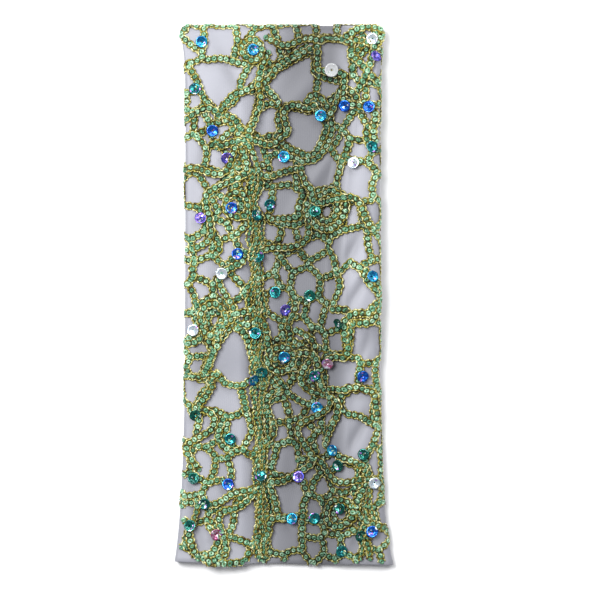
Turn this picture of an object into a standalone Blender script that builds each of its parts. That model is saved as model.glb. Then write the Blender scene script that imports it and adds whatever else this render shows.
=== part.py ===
"""A square table napkin of satin under an open lace, folded into a long strip.

One square of satin is folded lengthwise to four layers: both outer quarters go to
the middle, and the strip is closed like a book. Then a third of the strip is turned
under. The lace is a web of chain cords with open cells. It lies over the upper layer
and reaches onto the soft bends at its two long sides.

Lengths are in millimetres until the meshes are made, in metres. X runs across the
strip, Y along it towards the end that is turned under, and Z is up.
"""

import math
from typing import NamedTuple

import bmesh
import bpy
import numpy as np

# Driving dimensions
METRES = 0.001
CUT_SIZE = 508.0
TURNED_UNDER = CUT_SIZE / 3.0
STRIP_LENGTH = CUT_SIZE - TURNED_UNDER
CLOTH = 1.0
LAYER_GAP = 0.6
LAYER_STEP = CLOTH + LAYER_GAP
LAYERS = 4

# The fold that turns the strip under
UNDER_BEND_RADIUS = 0.8
UNDER_NARROWING = 1.5
FLAT_STACK = LAYERS * CLOTH + (LAYERS - 1) * LAYER_GAP
UPPER_BASE = FLAT_STACK + 2.0 * UNDER_BEND_RADIUS
FOLDED_END = STRIP_LENGTH / 2.0
BEND_CENTRE_Y = FOLDED_END - UNDER_BEND_RADIUS - FLAT_STACK
BEND_CENTRE_Z = FLAT_STACK + UNDER_BEND_RADIUS
OUTER_BEND_RADIUS = UNDER_BEND_RADIUS + FLAT_STACK
UPPER_RUN = BEND_CENTRE_Y + FOLDED_END
BEND_RUN = math.pi * OUTER_BEND_RADIUS
UNDER_RUN = TURNED_UNDER - OUTER_BEND_RADIUS
DESCENT_START = UPPER_RUN + OUTER_BEND_RADIUS - TURNED_UNDER - 4.0
DESCENT_LENGTH = 62.0
LOFT_FADE = 30.0

# Side bends, where the layers turn at the strip's long sides
LEFT_BEND_SHAPE = 1.1
RIGHT_BEND_SHAPE = 0.9
LOWER_BEND_TUCK = 0.7
FREE_EDGE_INSET = 2.2
SIDE_CROWN = 0.7

# The open end is a little slanted, and its slant dies out along the strip
OPEN_END_SLANT = 1.4
OPEN_END_SLANT_REACH = 40.0

# The lace
LACE_THICKNESS = 1.2
LACE_CLEARANCE = 0.85
LACE_TURN_CLEARANCE = 0.45
TURN_ZONE = 5.0
LACE_LEFT = 60.5
LACE_RIGHT = 61.5
LACE_OPEN_END = 1.6
LACE_FOLDED_END = UPPER_RUN + 0.22 * BEND_RUN
CHAIN_WIDTH = 5.2
GATHER_SIZE = 8.5
GATHER_WIDTH = 20.0
GATHER_START = 262.0
GATHER_EASE = 60.0
GATHER_OPEN_END = -13.5
GATHER_MIDDLE = -20.5
SMALLEST_OPENING = 4.2
SEED = 6

# Edges that turn more than this are shaded sharp
SHARP_EDGE = math.radians(50.0)


class Side(NamedTuple):
    """How far one long side lies from the centre line, and how it flares at the ends."""

    half_width: float
    open_flare: float
    open_reach: float
    folded_flare: float
    folded_reach: float


LEFT = Side(half_width=60.9, open_flare=7.0, open_reach=50.0, folded_flare=3.4, folded_reach=11.0)
RIGHT = Side(half_width=60.9, open_flare=9.0, open_reach=37.0, folded_flare=3.0, folded_reach=14.0)


class Section(NamedTuple):
    """The upper layer's shape across the strip, at one distance from the open end.

    The two sides stand high, and the middle sags to the layers below it. Each wall runs
    from its top to its foot, given as distances across the strip from the centre line.
    """

    along: float
    left_top: float
    left_foot: float
    right_foot: float
    right_top: float
    left_rise: float
    right_rise: float


SECTIONS = (
    Section(0.0, -27.0, -10.5, 24.5, 43.0, 4.0, 3.2),
    Section(55.0, -26.5, -11.5, 26.5, 42.0, 5.6, 4.8),
    Section(118.0, -27.5, -12.5, 27.0, 42.0, 5.8, 5.4),
    Section(174.0, -29.0, -15.0, 26.0, 40.0, 5.6, 5.8),
    Section(224.0, -30.0, -16.0, 26.5, 40.5, 5.4, 5.6),
    Section(286.0, -26.5, -9.0, 33.0, 46.5, 4.8, 4.6),
    Section(323.0, -24.0, -4.0, 30.0, 43.5, 3.0, 3.0),
)


class Layer(NamedTuple):
    """One layer's place in the pile, and its share of the upper layer's rise at each side."""

    level: int
    left_share: float
    right_share: float


FACE = Layer(level=3, left_share=1.0, right_share=1.0)
UPPER_INNER = Layer(level=2, left_share=0.50, right_share=0.44)
LOWER_INNER = Layer(level=1, left_share=0.50, right_share=0.44)
BACK = Layer(level=0, left_share=0.0, right_share=0.0)

# Steps across each stretch of a layer: side, wall, middle, wall, side
FACE_STEPS = (3, 4, 2, 4, 3)
INNER_STEPS = (1, 3, 1, 2, 1)
BACK_STEPS = (1, 1, 1, 1, 1)
SMALL_BEND_STEPS = 5
LARGE_BEND_STEPS = 7

# Sections along each stretch of the path, from the open end to the turned-under end
OPEN_SECTIONS = 5
DESCENT_SECTIONS = 7
RAISED_SECTIONS = 8
FADING_SECTIONS = 5
TURNING_SECTIONS = 9
UNDER_SECTIONS = 3

# The fine grid on which the lace is laid
FINE_STEPS = (30, 30, 30, 30, 30)
FINE_BEND_STEPS = 24
MAP_COLUMNS = 161
MAP_ROWS = 201


def soft_step(value):
    """Return 0 below 0, 1 above 1, and a curve level at both ends between them."""
    part = np.clip(value, 0.0, 1.0)
    return part * part * (3.0 - 2.0 * part)


def section_at(along):
    """Return the shape across the strip at a distance from the open end."""
    places = [row.along for row in SECTIONS]
    place = min(max(along, places[0]), places[-1])
    upper = min(max(int(np.searchsorted(places, place)), 1), len(SECTIONS) - 1)
    before = SECTIONS[upper - 1]
    after = SECTIONS[upper]
    part = float(soft_step((place - before.along) / (after.along - before.along)))
    return Section(*(low + (high - low) * part for low, high in zip(before, after)))


def half_width(side, along):
    """Return how far a long side lies from the centre line at a distance from the open end.

    The side flares at the open end and at the folded end, and the turned-under end is narrower.
    """
    turning = float(soft_step((along - UPPER_RUN) / BEND_RUN))
    to_folded = max(UPPER_RUN - along, 0.0)
    folded_part = max(1.0 - 2.0 * turning, 0.0) * math.exp(-to_folded / side.folded_reach)
    open_part = math.exp(-along / side.open_reach)
    flare = side.open_flare * open_part + side.folded_flare * folded_part
    return side.half_width + flare - UNDER_NARROWING * turning


def loft_at(along):
    """Return how much of its full rise the cloth keeps: 1 on top, 0 in the turned-under end."""
    return 1.0 - float(soft_step((along - UPPER_RUN + LOFT_FADE) / LOFT_FADE))


def layer_height(layer, across, along):
    """Return the height of a layer's middle above the pile's lower face.

    It is the layer's place in a flat pile, and its share of the rise outside each wall.
    A low crown rounds each side, so that it is highest halfway to its wall.
    """
    shape = section_at(along)
    loft = loft_at(along)
    left_end = -half_width(LEFT, along)
    right_end = half_width(RIGHT, along)
    outside_left = 1.0 - soft_step((across - shape.left_top) / (shape.left_foot - shape.left_top))
    outside_right = soft_step((across - shape.right_foot) / (shape.right_top - shape.right_foot))
    left_part = np.clip((across - left_end) / (shape.left_top - left_end), 0.0, 1.0)
    right_part = np.clip((right_end - across) / (right_end - shape.right_top), 0.0, 1.0)
    left_rise = shape.left_rise + SIDE_CROWN * np.sin(math.pi * left_part) ** 2
    right_rise = shape.right_rise + SIDE_CROWN * np.sin(math.pi * right_part) ** 2
    rise = layer.left_share * left_rise * outside_left + layer.right_share * right_rise * outside_right
    return CLOTH / 2.0 + layer.level * LAYER_STEP + loft * rise


def bend_depths(along):
    """Return how far the middle of the cloth bulges at the left and the right side."""
    left_end = -half_width(LEFT, along)
    right_end = half_width(RIGHT, along)
    left_gap = layer_height(FACE, left_end, along) - layer_height(UPPER_INNER, left_end, along)
    right_gap = layer_height(FACE, right_end, along) - layer_height(BACK, right_end, along)
    return LEFT_BEND_SHAPE * float(left_gap) / 2.0, RIGHT_BEND_SHAPE * float(right_gap) / 2.0


def columns(along, steps, start, end):
    """Return places across the strip, denser on the two walls, from start to end."""
    shape = section_at(along)
    stops = (start, shape.left_top, shape.left_foot, shape.right_foot, shape.right_top, end)
    spans = zip(stops, stops[1:], steps)
    runs = [np.linspace(low, high, count, endpoint=False) for low, high, count in spans]
    return np.append(np.concatenate(runs), end)


def bend(centre, depth, upper, lower, steps):
    """Return the points of a half-round bend from an upper height to a lower one.

    A negative depth bulges to the left. The first and last point are left to the layers.
    """
    angle = np.linspace(math.pi / 2.0, -math.pi / 2.0, steps + 1)[1:-1]
    across = centre + depth * np.cos(angle)
    height = (upper + lower) / 2.0 + (upper - lower) / 2.0 * np.sin(angle)
    return np.column_stack((across, height))


def run_of(layer, along, across):
    """Return a layer's points at the given places across the strip."""
    return np.column_stack((across, layer_height(layer, across, along)))


def cloth_path(along):
    """Return the cloth's middle line across the strip, from one hem to the other.

    It starts at the hem inside the upper pair of layers, turns at the left side, crosses
    as the face, turns at the right side, comes back as the back and ends inside.
    """
    left_depth, right_depth = bend_depths(along)
    left = -half_width(LEFT, along) + CLOTH / 2.0 + left_depth
    right = half_width(RIGHT, along) - CLOTH / 2.0 - right_depth
    lower_left = left + LOWER_BEND_TUCK
    hem = right - FREE_EDGE_INSET
    upper_inner = run_of(UPPER_INNER, along, columns(along, INNER_STEPS, left, hem))
    lower_inner = run_of(LOWER_INNER, along, columns(along, INNER_STEPS, lower_left, hem))
    face = run_of(FACE, along, columns(along, FACE_STEPS, left, right))
    back = run_of(BACK, along, columns(along, BACK_STEPS, lower_left, right))
    upper_bend = bend(left, -left_depth, face[0, 1], upper_inner[0, 1], SMALL_BEND_STEPS)
    side_bend = bend(right, right_depth, face[-1, 1], back[-1, 1], LARGE_BEND_STEPS)
    lower_bend = bend(lower_left, -left_depth, lower_inner[0, 1], back[0, 1], SMALL_BEND_STEPS)
    upper_pieces = (upper_inner[::-1], upper_bend[::-1], face, side_bend)
    lower_pieces = (back[::-1], lower_bend[::-1], lower_inner)
    return np.concatenate(upper_pieces + lower_pieces)


def line_normals(points):
    """Return normals to the left of a line, lengthened at corners so an offset keeps its width."""
    steps = np.diff(points, axis=0)
    steps /= np.linalg.norm(steps, axis=1)[:, None]
    before = np.vstack((steps[:1], steps))
    after = np.vstack((steps, steps[-1:]))
    middle = before + after
    middle /= np.linalg.norm(middle, axis=1)[:, None]
    stretch = 1.0 / np.sum(middle * after, axis=1)
    return np.column_stack((-middle[:, 1], middle[:, 0])) * stretch[:, None]


def place(along, across, height):
    """Put points of a section into the model.

    The path runs level, comes down off the turned-under end, and rounds a half turn at
    the folded end. Heights count from the pile's lower face, out from the fold's centre.
    """
    descent = (DESCENT_START - along) / DESCENT_LENGTH
    base = UPPER_BASE * (1.0 - soft_step(descent))
    part = np.clip(descent, 0.0, 1.0)
    slope = UPPER_BASE * 6.0 * part * (1.0 - part) / DESCENT_LENGTH
    turn = np.clip((along - UPPER_RUN) / BEND_RUN, 0.0, 1.0) * math.pi
    tilt = np.where(turn > 0.0, turn, -np.arctan(slope))
    beyond = np.maximum(along - UPPER_RUN - BEND_RUN, 0.0)
    path_y = np.where(turn > 0.0, BEND_CENTRE_Y - beyond, along - FOLDED_END)
    path_z = np.where(turn > 0.0, BEND_CENTRE_Z, base)
    reach = np.where(turn > 0.0, UNDER_BEND_RADIUS + height, height)
    slant = OPEN_END_SLANT * across / RIGHT.half_width * np.exp(-along / OPEN_END_SLANT_REACH)
    y = path_y + reach * np.sin(tilt) - slant
    z = path_z + reach * np.cos(tilt)
    return np.stack(np.broadcast_arrays(across, y, z), axis=-1)


def stations():
    """Return the distances along the cloth's path at which the solid has a section."""
    bend_end = UPPER_RUN + BEND_RUN
    stops = (
        (0.0, DESCENT_START - DESCENT_LENGTH, OPEN_SECTIONS),
        (DESCENT_START - DESCENT_LENGTH, DESCENT_START, DESCENT_SECTIONS),
        (DESCENT_START, UPPER_RUN - LOFT_FADE, RAISED_SECTIONS),
        (UPPER_RUN - LOFT_FADE, UPPER_RUN, FADING_SECTIONS),
        (UPPER_RUN, bend_end, TURNING_SECTIONS),
        (bend_end, bend_end + UNDER_RUN, UNDER_SECTIONS),
    )
    stretches = [np.linspace(start, end, sections)[1:] for start, end, sections in stops]
    return np.concatenate(([0.0], *stretches))


def cloth_mesh():
    """Return the folded satin as points and faces: one closed sheet along its path."""
    rings = []
    for along in stations():
        path = cloth_path(along)
        normals = line_normals(path)
        upper = path + normals * CLOTH / 2.0
        lower = path - normals * CLOTH / 2.0
        outline = np.concatenate((upper, lower[::-1]))
        rings.append(place(along, outline[:, 0], outline[:, 1]))
    count = len(rings[0])
    points = np.concatenate(rings)
    faces = []
    for ring in range(len(rings) - 1):
        start = ring * count
        for index in range(count):
            after = (index + 1) % count
            faces.append((start + index, start + after, start + count + after, start + count + index))
    last = (len(rings) - 1) * count
    for index in range(count // 2 - 1):
        end = (index, index + 1, count - 2 - index, count - 1 - index)
        faces.append(end[::-1])
        faces.append(tuple(last + corner for corner in end))
    return points, faces


class FaceMap:
    """The outer face of the upper layer, read by flat distances across and along it."""

    def __init__(self):
        """Work the face out on a fine grid."""
        self.across = np.linspace(-LACE_LEFT, LACE_RIGHT, MAP_COLUMNS)
        self.along = np.linspace(0.0, LACE_FOLDED_END, MAP_ROWS)
        self.points = np.stack([self.row(along) for along in self.along])
        lengthwise = np.gradient(self.points, axis=0)
        crosswise = np.gradient(self.points, axis=1)
        normals = np.cross(crosswise, lengthwise)
        self.normals = normals / np.linalg.norm(normals, axis=-1)[..., None]

    def row(self, along):
        """Return the face's points at one distance along, evenly spaced in flat distance."""
        left_depth, right_depth = bend_depths(along)
        left = -half_width(LEFT, along) + CLOTH / 2.0 + left_depth
        right = half_width(RIGHT, along) - CLOTH / 2.0 - right_depth
        face = run_of(FACE, along, columns(along, FINE_STEPS, left, right))
        inner_height = float(layer_height(UPPER_INNER, left, along))
        back_height = float(layer_height(BACK, right, along))
        left_bend = bend(left, -left_depth, face[0, 1], inner_height, FINE_BEND_STEPS)
        right_bend = bend(right, right_depth, face[-1, 1], back_height, FINE_BEND_STEPS)
        path = np.concatenate((left_bend[::-1], face, right_bend))
        outer = path + line_normals(path) * CLOTH / 2.0
        length = np.concatenate(((0.0,), np.cumsum(np.linalg.norm(np.diff(outer, axis=0), axis=1))))
        middle = float(np.interp(0.0, outer[:, 0], length))
        flat = middle + self.across
        return place(along, np.interp(flat, length, outer[:, 0]), np.interp(flat, length, outer[:, 1]))

    def lift(self, flat, height):
        """Return points at a height over the face, for flat places as across and along pairs.

        They stand a little higher on the bends at the sides and at the folded end.
        """
        over_side = (np.abs(flat[:, 0]) - LEFT.half_width) / TURN_ZONE + 1.0
        over_end = (flat[:, 1] - UPPER_RUN) / TURN_ZONE + 1.0
        height = height + LACE_TURN_CLEARANCE * soft_step(np.maximum(over_side, over_end))
        column = np.interp(flat[:, 0], self.across, np.arange(len(self.across)))
        row = np.interp(flat[:, 1], self.along, np.arange(len(self.along)))
        left = np.minimum(column.astype(int), len(self.across) - 2)
        lower = np.minimum(row.astype(int), len(self.along) - 2)
        aside = (column - left)[:, None]
        ahead = (row - lower)[:, None]
        found = []
        for grid in (self.points, self.normals):
            near = grid[lower, left] * (1.0 - aside) + grid[lower, left + 1] * aside
            far = grid[lower + 1, left] * (1.0 - aside) + grid[lower + 1, left + 1] * aside
            found.append(near * (1.0 - ahead) + far * ahead)
        return found[0] + found[1] * height[:, None]


class Opening(NamedTuple):
    """One of the lace's largest openings, as a flat place and its cell's radius."""

    across: float
    along: float
    radius: float


OPENINGS = (
    Opening(across=-39.0, along=327.0, radius=10.0),
    Opening(across=33.0, along=319.0, radius=10.5),
    Opening(across=-40.0, along=303.0, radius=14.0),
    Opening(across=7.0, along=301.0, radius=14.5),
    Opening(across=-27.0, along=285.0, radius=9.5),
    Opening(across=-10.0, along=278.0, radius=9.5),
    Opening(across=13.0, along=275.0, radius=12.5),
    Opening(across=2.0, along=247.0, radius=9.5),
    Opening(across=25.0, along=247.0, radius=10.5),
    Opening(across=49.0, along=241.0, radius=10.0),
    Opening(across=6.0, along=226.0, radius=10.5),
    Opening(across=45.0, along=198.0, radius=10.5),
    Opening(across=47.0, along=172.0, radius=10.5),
    Opening(across=54.0, along=142.0, radius=11.0),
    Opening(across=-35.0, along=130.0, radius=13.5),
    Opening(across=39.0, along=121.0, radius=10.5),
    Opening(across=-43.0, along=106.0, radius=11.0),
    Opening(across=-56.0, along=110.0, radius=9.0),
    Opening(across=52.0, along=100.0, radius=10.0),
    Opening(across=45.0, along=80.0, radius=13.0),
    Opening(across=-25.0, along=57.0, radius=10.5),
    Opening(across=6.0, along=41.0, radius=10.5),
    Opening(across=-23.0, along=27.0, radius=11.0),
    Opening(across=5.0, along=19.0, radius=10.0),
)


class Rosette(NamedTuple):
    """A middle cell in a ring of small ones, as a flat place on the lace."""

    across: float
    along: float
    radius: float
    petals: int


ROSETTES = (
    Rosette(across=-33.0, along=225.0, radius=4.2, petals=7),
    Rosette(across=30.0, along=221.0, radius=4.6, petals=8),
    Rosette(across=-45.0, along=154.0, radius=4.2, petals=7),
    Rosette(across=5.0, along=129.0, radius=4.4, petals=7),
    Rosette(across=39.0, along=32.0, radius=4.6, petals=8),
)

# The cells of the web, thrown over a plan a little wider than the lace
PLAN_LEFT = 70.0
PLAN_RIGHT = 76.0
PLAN_BEFORE = 4.0
PETAL_RADIUS = 3.3
PETAL_TURN = 0.3
CELL_SMALL = 4.2
CELL_LARGE = 9.0
CELL_TRIES = 11000
CELL_OVERLAP = 0.93
CELL_NEIGHBOURS = 40
CELL_STRETCH = 1.15
SHORTEST_SIDE = 1.6
LONGEST_SIDE = 5.6
OPENING_STEP = 5.2
FEWEST_OPENING_POINTS = 6
CORNER_CUTS = 2
CORNER_PART = 0.25


def flat_distance(offsets):
    """Return distances on the lace, measured shorter along it, so that cells are long that way."""
    return np.hypot(offsets[..., 0], offsets[..., 1] / CELL_STRETCH)


def cell_circles():
    """Return the cells' centres and radii.

    The largest openings and the rosettes have their places. Others are thrown in where
    they have room, small beside large, so that dense and open stretches mix.
    """
    draws = np.random.default_rng(SEED)
    centres = []
    radii = []
    for rosette in ROSETTES:
        centres.append((rosette.across, rosette.along))
        radii.append(rosette.radius)
        reach = rosette.radius + PETAL_RADIUS
        for petal in range(rosette.petals):
            angle = 2.0 * math.pi * (petal + PETAL_TURN) / rosette.petals
            across = rosette.across + reach * math.cos(angle)
            centres.append((across, rosette.along + reach * CELL_STRETCH * math.sin(angle)))
            radii.append(PETAL_RADIUS)
    for opening in OPENINGS:
        centres.append((opening.across, opening.along))
        radii.append(opening.radius)
    centres = np.array(centres)
    radii = np.array(radii)
    low = np.array((-PLAN_LEFT, -PLAN_BEFORE))
    high = np.array((PLAN_RIGHT, UPPER_RUN + BEND_RUN))
    for across, along, size in draws.random((CELL_TRIES, 3)):
        centre = low + (high - low) * (across, along)
        radius = CELL_SMALL + (CELL_LARGE - CELL_SMALL) * size
        if np.all(flat_distance(centres - centre) >= (radii + radius) * CELL_OVERLAP):
            centres = np.vstack((centres, centre))
            radii = np.append(radii, radius)
    return centres, radii


def clip(corners, sides, point, outward, name):
    """Return a convex outline and its sides' names, cut off beyond a line."""
    kept = []
    names = []
    for index, corner in enumerate(corners):
        following = corners[(index + 1) % len(corners)]
        here = float(np.dot(corner - point, outward))
        there = float(np.dot(following - point, outward))
        if here <= 0.0:
            kept.append(corner)
            names.append(sides[index])
        if here <= 0.0 < there or there <= 0.0 < here:
            kept.append(corner + (following - corner) * here / (here - there))
            names.append(name if here <= 0.0 else sides[index])
    return kept, names


def cell_outline(centres, radii, index, inset):
    """Return one cell's corners, and what lies past each side, drawn in by a distance.

    Each side lies on the line of equal power between two cells' circles, which passes
    between them in proportion to their size. The lace's four edges have negative names.
    """
    low = np.array((-LACE_LEFT, LACE_OPEN_END)) + inset
    high = np.array((LACE_RIGHT, LACE_FOLDED_END)) - inset
    corners = [low, np.array((high[0], low[1])), high, np.array((low[0], high[1]))]
    sides = [-1, -2, -3, -4]
    centre = centres[index]
    distance = flat_distance(centres - centre)
    power = distance**2 - radii**2
    power[index] = -math.inf
    for other in np.argsort(power)[1:CELL_NEIGHBOURS]:
        apart = distance[other] ** 2
        share = (apart + radii[index] ** 2 - radii[other] ** 2) / (2.0 * apart)
        outward = (centres[other] - centre) / (1.0, CELL_STRETCH**2)
        outward /= np.linalg.norm(outward)
        meeting = centre + (centres[other] - centre) * share - outward * inset
        corners, sides = clip(corners, sides, meeting, outward, int(other))
        if len(corners) < 3:
            return [], []
    return corners, sides


def rounded(corners, count):
    """Return a convex outline with its corners cut twice, as evenly spaced points."""
    outline = np.array(corners)
    for _ in range(CORNER_CUTS):
        following = np.roll(outline, -1, axis=0)
        leaving = outline + (following - outline) * CORNER_PART
        arriving = following - (following - outline) * CORNER_PART
        outline = np.stack((leaving, arriving), axis=1).reshape(-1, 2)
    closed = np.vstack((outline, outline[:1]))
    length = np.concatenate(((0.0,), np.cumsum(np.linalg.norm(np.diff(closed, axis=0), axis=1))))
    places = np.linspace(0.0, length[-1], count, endpoint=False)
    return np.column_stack([np.interp(places, length, closed[:, axis]) for axis in (0, 1)])


def narrowest(corners):
    """Return the least width of a convex outline, taken at right angles to its sides."""
    outline = np.array(corners)
    sides = np.roll(outline, -1, axis=0) - outline
    lengths = np.linalg.norm(sides, axis=1)
    widths = []
    for corner, side, length in zip(outline, sides, lengths):
        if length > 0.0:
            inward = np.array((-side[1], side[0])) / length
            widths.append(float(np.max((outline - corner) @ inward)))
    return min(widths)


class Cell(NamedTuple):
    """One cell's corners, their shared names, and what lies past each side."""

    corners: list
    names: list
    sides: list


def named_cell(index, corners, sides):
    """Return a cell whose corners are named by what meets there, as its neighbours name them."""
    names = [frozenset((index, sides[turn - 1], sides[turn])) for turn in range(len(sides))]
    return Cell(corners, names, sides)


class Web:
    """The lace as a flat plan: shared points, and the faces between them."""

    def __init__(self, cells):
        """Number the corners of all the cells, with every short side drawn to one corner."""
        self.points = []
        self.numbers = {}
        self.between_corners = {}
        self.faces = []
        self.walls = []
        for cell in cells:
            for name, point in zip(cell.names, cell.corners):
                if name not in self.numbers:
                    self.numbers[name] = len(self.points)
                    self.points.append(point)
        for cell in cells:
            for turn, name in enumerate(cell.names):
                self.draw_together(name, cell.names[turn - 1])

    def draw_together(self, first, second):
        """Make two corners one if the side between them is short.

        The corner that lies on more of the lace's edges keeps its place.
        """
        kept = self.numbers[first]
        moved = self.numbers[second]
        short = float(np.linalg.norm(self.points[kept] - self.points[moved])) < SHORTEST_SIDE
        if kept == moved or not short:
            return
        if self.edges_at(moved) > self.edges_at(kept):
            kept, moved = moved, kept
        for name, number in self.numbers.items():
            if number == moved:
                self.numbers[name] = kept

    def edges_at(self, number):
        """Return how many of the lace's edges a numbered corner lies on."""
        names = [name for name, known in self.numbers.items() if known == number]
        return max(sum(side < 0 for side in name) for name in names)

    def side(self, start, end):
        """Return the numbers from one corner to the next, with points between on a long side."""
        low = min(start, end)
        high = max(start, end)
        whole = self.points[high] - self.points[low]
        pieces = max(1, math.ceil(float(np.linalg.norm(whole)) / LONGEST_SIDE))
        numbers = []
        for piece in range(1, pieces):
            name = (low, high, piece)
            if name not in self.between_corners:
                self.between_corners[name] = len(self.points)
                self.points.append(self.points[low] + whole * piece / pieces)
            numbers.append(self.between_corners[name])
        return [start] + (numbers if start == low else numbers[::-1])

    def add_cell(self, cell, opening):
        """Add one cell's faces, and the walls at its opening and at the lace's edges.

        A cell that has shrunk to a side or a point has no faces, as its neighbours then meet.
        """
        numbers = [self.numbers[name] for name in cell.names]
        loop = []
        for turn, start in enumerate(numbers):
            end = numbers[(turn + 1) % len(numbers)]
            if start != end:
                run = self.side(start, end)
                loop.extend(run)
                if cell.sides[turn] < 0:
                    self.walls.extend(zip(run, run[1:] + [end]))
        if len(set(numbers)) < 3:
            return
        if opening is None:
            middle = len(self.points)
            self.points.append(np.mean([self.points[number] for number in loop], axis=0))
            self.faces.extend((start, end, middle) for start, end in zip(loop, loop[1:] + loop[:1]))
            return
        first = len(self.points)
        self.points.extend(opening)
        hole = list(range(first, first + len(opening)))
        self.faces.extend(self.between(loop, hole))
        self.walls.extend(zip(hole[1:] + hole[:1], hole))

    def between(self, loop, hole):
        """Return triangles that fill the band between a cell's outline and its opening.

        Both run the same way round the opening's middle, and the band advances on
        whichever of the two comes next in angle.
        """
        middle = np.mean([self.points[number] for number in hole], axis=0)
        turns = []
        for ring in (loop, hole):
            offsets = np.array([self.points[number] for number in ring]) - middle
            turns.append(np.unwrap(np.arctan2(offsets[:, 1], offsets[:, 0])))
        nearest = int(np.argmin(np.abs(np.angle(np.exp(1j * (turns[1] - turns[0][0]))))))
        hole = hole[nearest:] + hole[:nearest]
        inner = np.unwrap(np.append(turns[1][nearest:], turns[1][:nearest]))
        inner += 2.0 * math.pi * round((turns[0][0] - inner[0]) / (2.0 * math.pi))
        outer = np.append(turns[0], turns[0][0] + 2.0 * math.pi)
        inner = np.append(inner, inner[0] + 2.0 * math.pi)
        faces = []
        here = 0
        there = 0
        while here < len(loop) or there < len(hole):
            outer_next = outer[here + 1] if here < len(loop) else math.inf
            inner_next = inner[there + 1] if there < len(hole) else math.inf
            start = loop[here % len(loop)]
            within = hole[there % len(hole)]
            if outer_next <= inner_next:
                here += 1
                faces.append((start, loop[here % len(loop)], within))
            else:
                there += 1
                faces.append((start, hole[there % len(hole)], within))
        return faces


def lace_plan():
    """Return the flat plan of the whole lace, with an opening in every cell that has room."""
    centres, radii = cell_circles()
    cells = {}
    for index in range(len(centres)):
        corners, sides = cell_outline(centres, radii, index, 0.0)
        if corners:
            cells[index] = named_cell(index, corners, sides)
    web = Web(cells.values())
    for index, cell in cells.items():
        inner, _ = cell_outline(centres, radii, index, CHAIN_WIDTH / 2.0)
        opening = None
        if inner and narrowest(inner) >= SMALLEST_OPENING:
            perimeter = float(np.sum(np.linalg.norm(np.roll(inner, -1, axis=0) - inner, axis=1)))
            opening = list(rounded(inner, max(FEWEST_OPENING_POINTS, round(perimeter / OPENING_STEP))))
        web.add_cell(cell, opening)
    return web


def gathered(flat):
    """Return flat places with the lace gathered along the left wall of the middle trough.

    The lace is crowded over a band at the wall, and eased a little everywhere else.
    """
    across = flat[:, 0]
    along = flat[:, 1]
    taken = GATHER_SIZE * soft_step((GATHER_START - along) / GATHER_EASE)
    band = GATHER_OPEN_END + (GATHER_MIDDLE - GATHER_OPEN_END) * along / GATHER_START
    eased = (across + LACE_LEFT) / (LACE_LEFT + LACE_RIGHT)
    crowded = soft_step((across - band) / GATHER_WIDTH + 0.5)
    return np.column_stack((across + taken * (eased - crowded), along))


def lace_mesh():
    """Return the lace as points and faces: the plan's two sides, and the walls between them."""
    web = lace_plan()
    flat = gathered(np.array(web.points))
    face_map = FaceMap()
    lower = face_map.lift(flat, LACE_CLEARANCE)
    upper = face_map.lift(flat, LACE_CLEARANCE + LACE_THICKNESS)
    count = len(flat)
    faces = []
    for corners in web.faces:
        if len(set(corners)) == 3:
            faces.append(tuple(corner + count for corner in corners))
            faces.append(tuple(corners[::-1]))
    for start, end in web.walls:
        faces.append((start, end, end + count, start + count))
    return np.concatenate((lower, upper)), faces


class Finish(NamedTuple):
    """A plain material's name and its look."""

    name: str
    colour: tuple
    roughness: float
    metallic: float


SATIN = Finish(name="satin", colour=(0.50, 0.50, 0.57), roughness=0.35, metallic=0.0)
LACE = Finish(name="lace", colour=(0.30, 0.50, 0.25), roughness=0.45, metallic=0.3)


def make_material(finish):
    """Return a Principled material with one finish."""
    material = bpy.data.materials.new(finish.name)
    material.use_nodes = True
    shader = material.node_tree.nodes["Principled BSDF"]
    shader.inputs["Base Color"].default_value = (*finish.colour, 1.0)
    shader.inputs["Roughness"].default_value = finish.roughness
    shader.inputs["Metallic"].default_value = finish.metallic
    return material


def make_object(name, points, faces, material):
    """Add a closed, smooth-shaded object made of points in millimetres and faces."""
    mesh = bpy.data.meshes.new(name)
    mesh.from_pydata((points * METRES).tolist(), [], faces)
    shape = bmesh.new()
    shape.from_mesh(mesh)
    loose = [vertex for vertex in shape.verts if not vertex.link_faces]
    bmesh.ops.delete(shape, geom=loose, context="VERTS")
    bmesh.ops.recalc_face_normals(shape, faces=shape.faces)
    shape.to_mesh(mesh)
    shape.free()
    mesh.shade_smooth()
    mesh.set_sharp_from_angle(angle=SHARP_EDGE)
    mesh.materials.append(material)
    item = bpy.data.objects.new(name, mesh)
    bpy.context.scene.collection.objects.link(item)
    return item


def centre_shift(clouds):
    """Return the move that puts the middle of all the points over the origin, standing on Z 0."""
    points = np.concatenate(clouds)
    low = points.min(axis=0)
    high = points.max(axis=0)
    return -np.array(((low[0] + high[0]) / 2.0, (low[1] + high[1]) / 2.0, low[2]))


def main():
    """Clear the scene, and make the satin and the lace about their common centre."""
    for item in list(bpy.data.objects):
        bpy.data.objects.remove(item, do_unlink=True)
    satin_points, satin_faces = cloth_mesh()
    lace_points, lace_faces = lace_mesh()
    shift = centre_shift((satin_points, lace_points))
    make_object("satin_ground", satin_points + shift, satin_faces, make_material(SATIN))
    make_object("lace_web", lace_points + shift, lace_faces, make_material(LACE))


main()
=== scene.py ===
"""A square satin table napkin under an open lace, folded into a long strip: its finished looks.

The satin is folded lengthwise to four layers and a third of the strip is turned under. The lace
over it is a web of chains: mint thread rings held between two gold cords, with cupped sequins.
Both follow the folds of the frame's solids, so the same sizes stand here again.

Lengths are millimetres until a mesh is made in metres. X runs across the strip, Y along it
towards the end that is turned under, and Z is up.
"""

import logging
import math
from dataclasses import dataclass, field
from enum import Enum
from typing import NamedTuple

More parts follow.
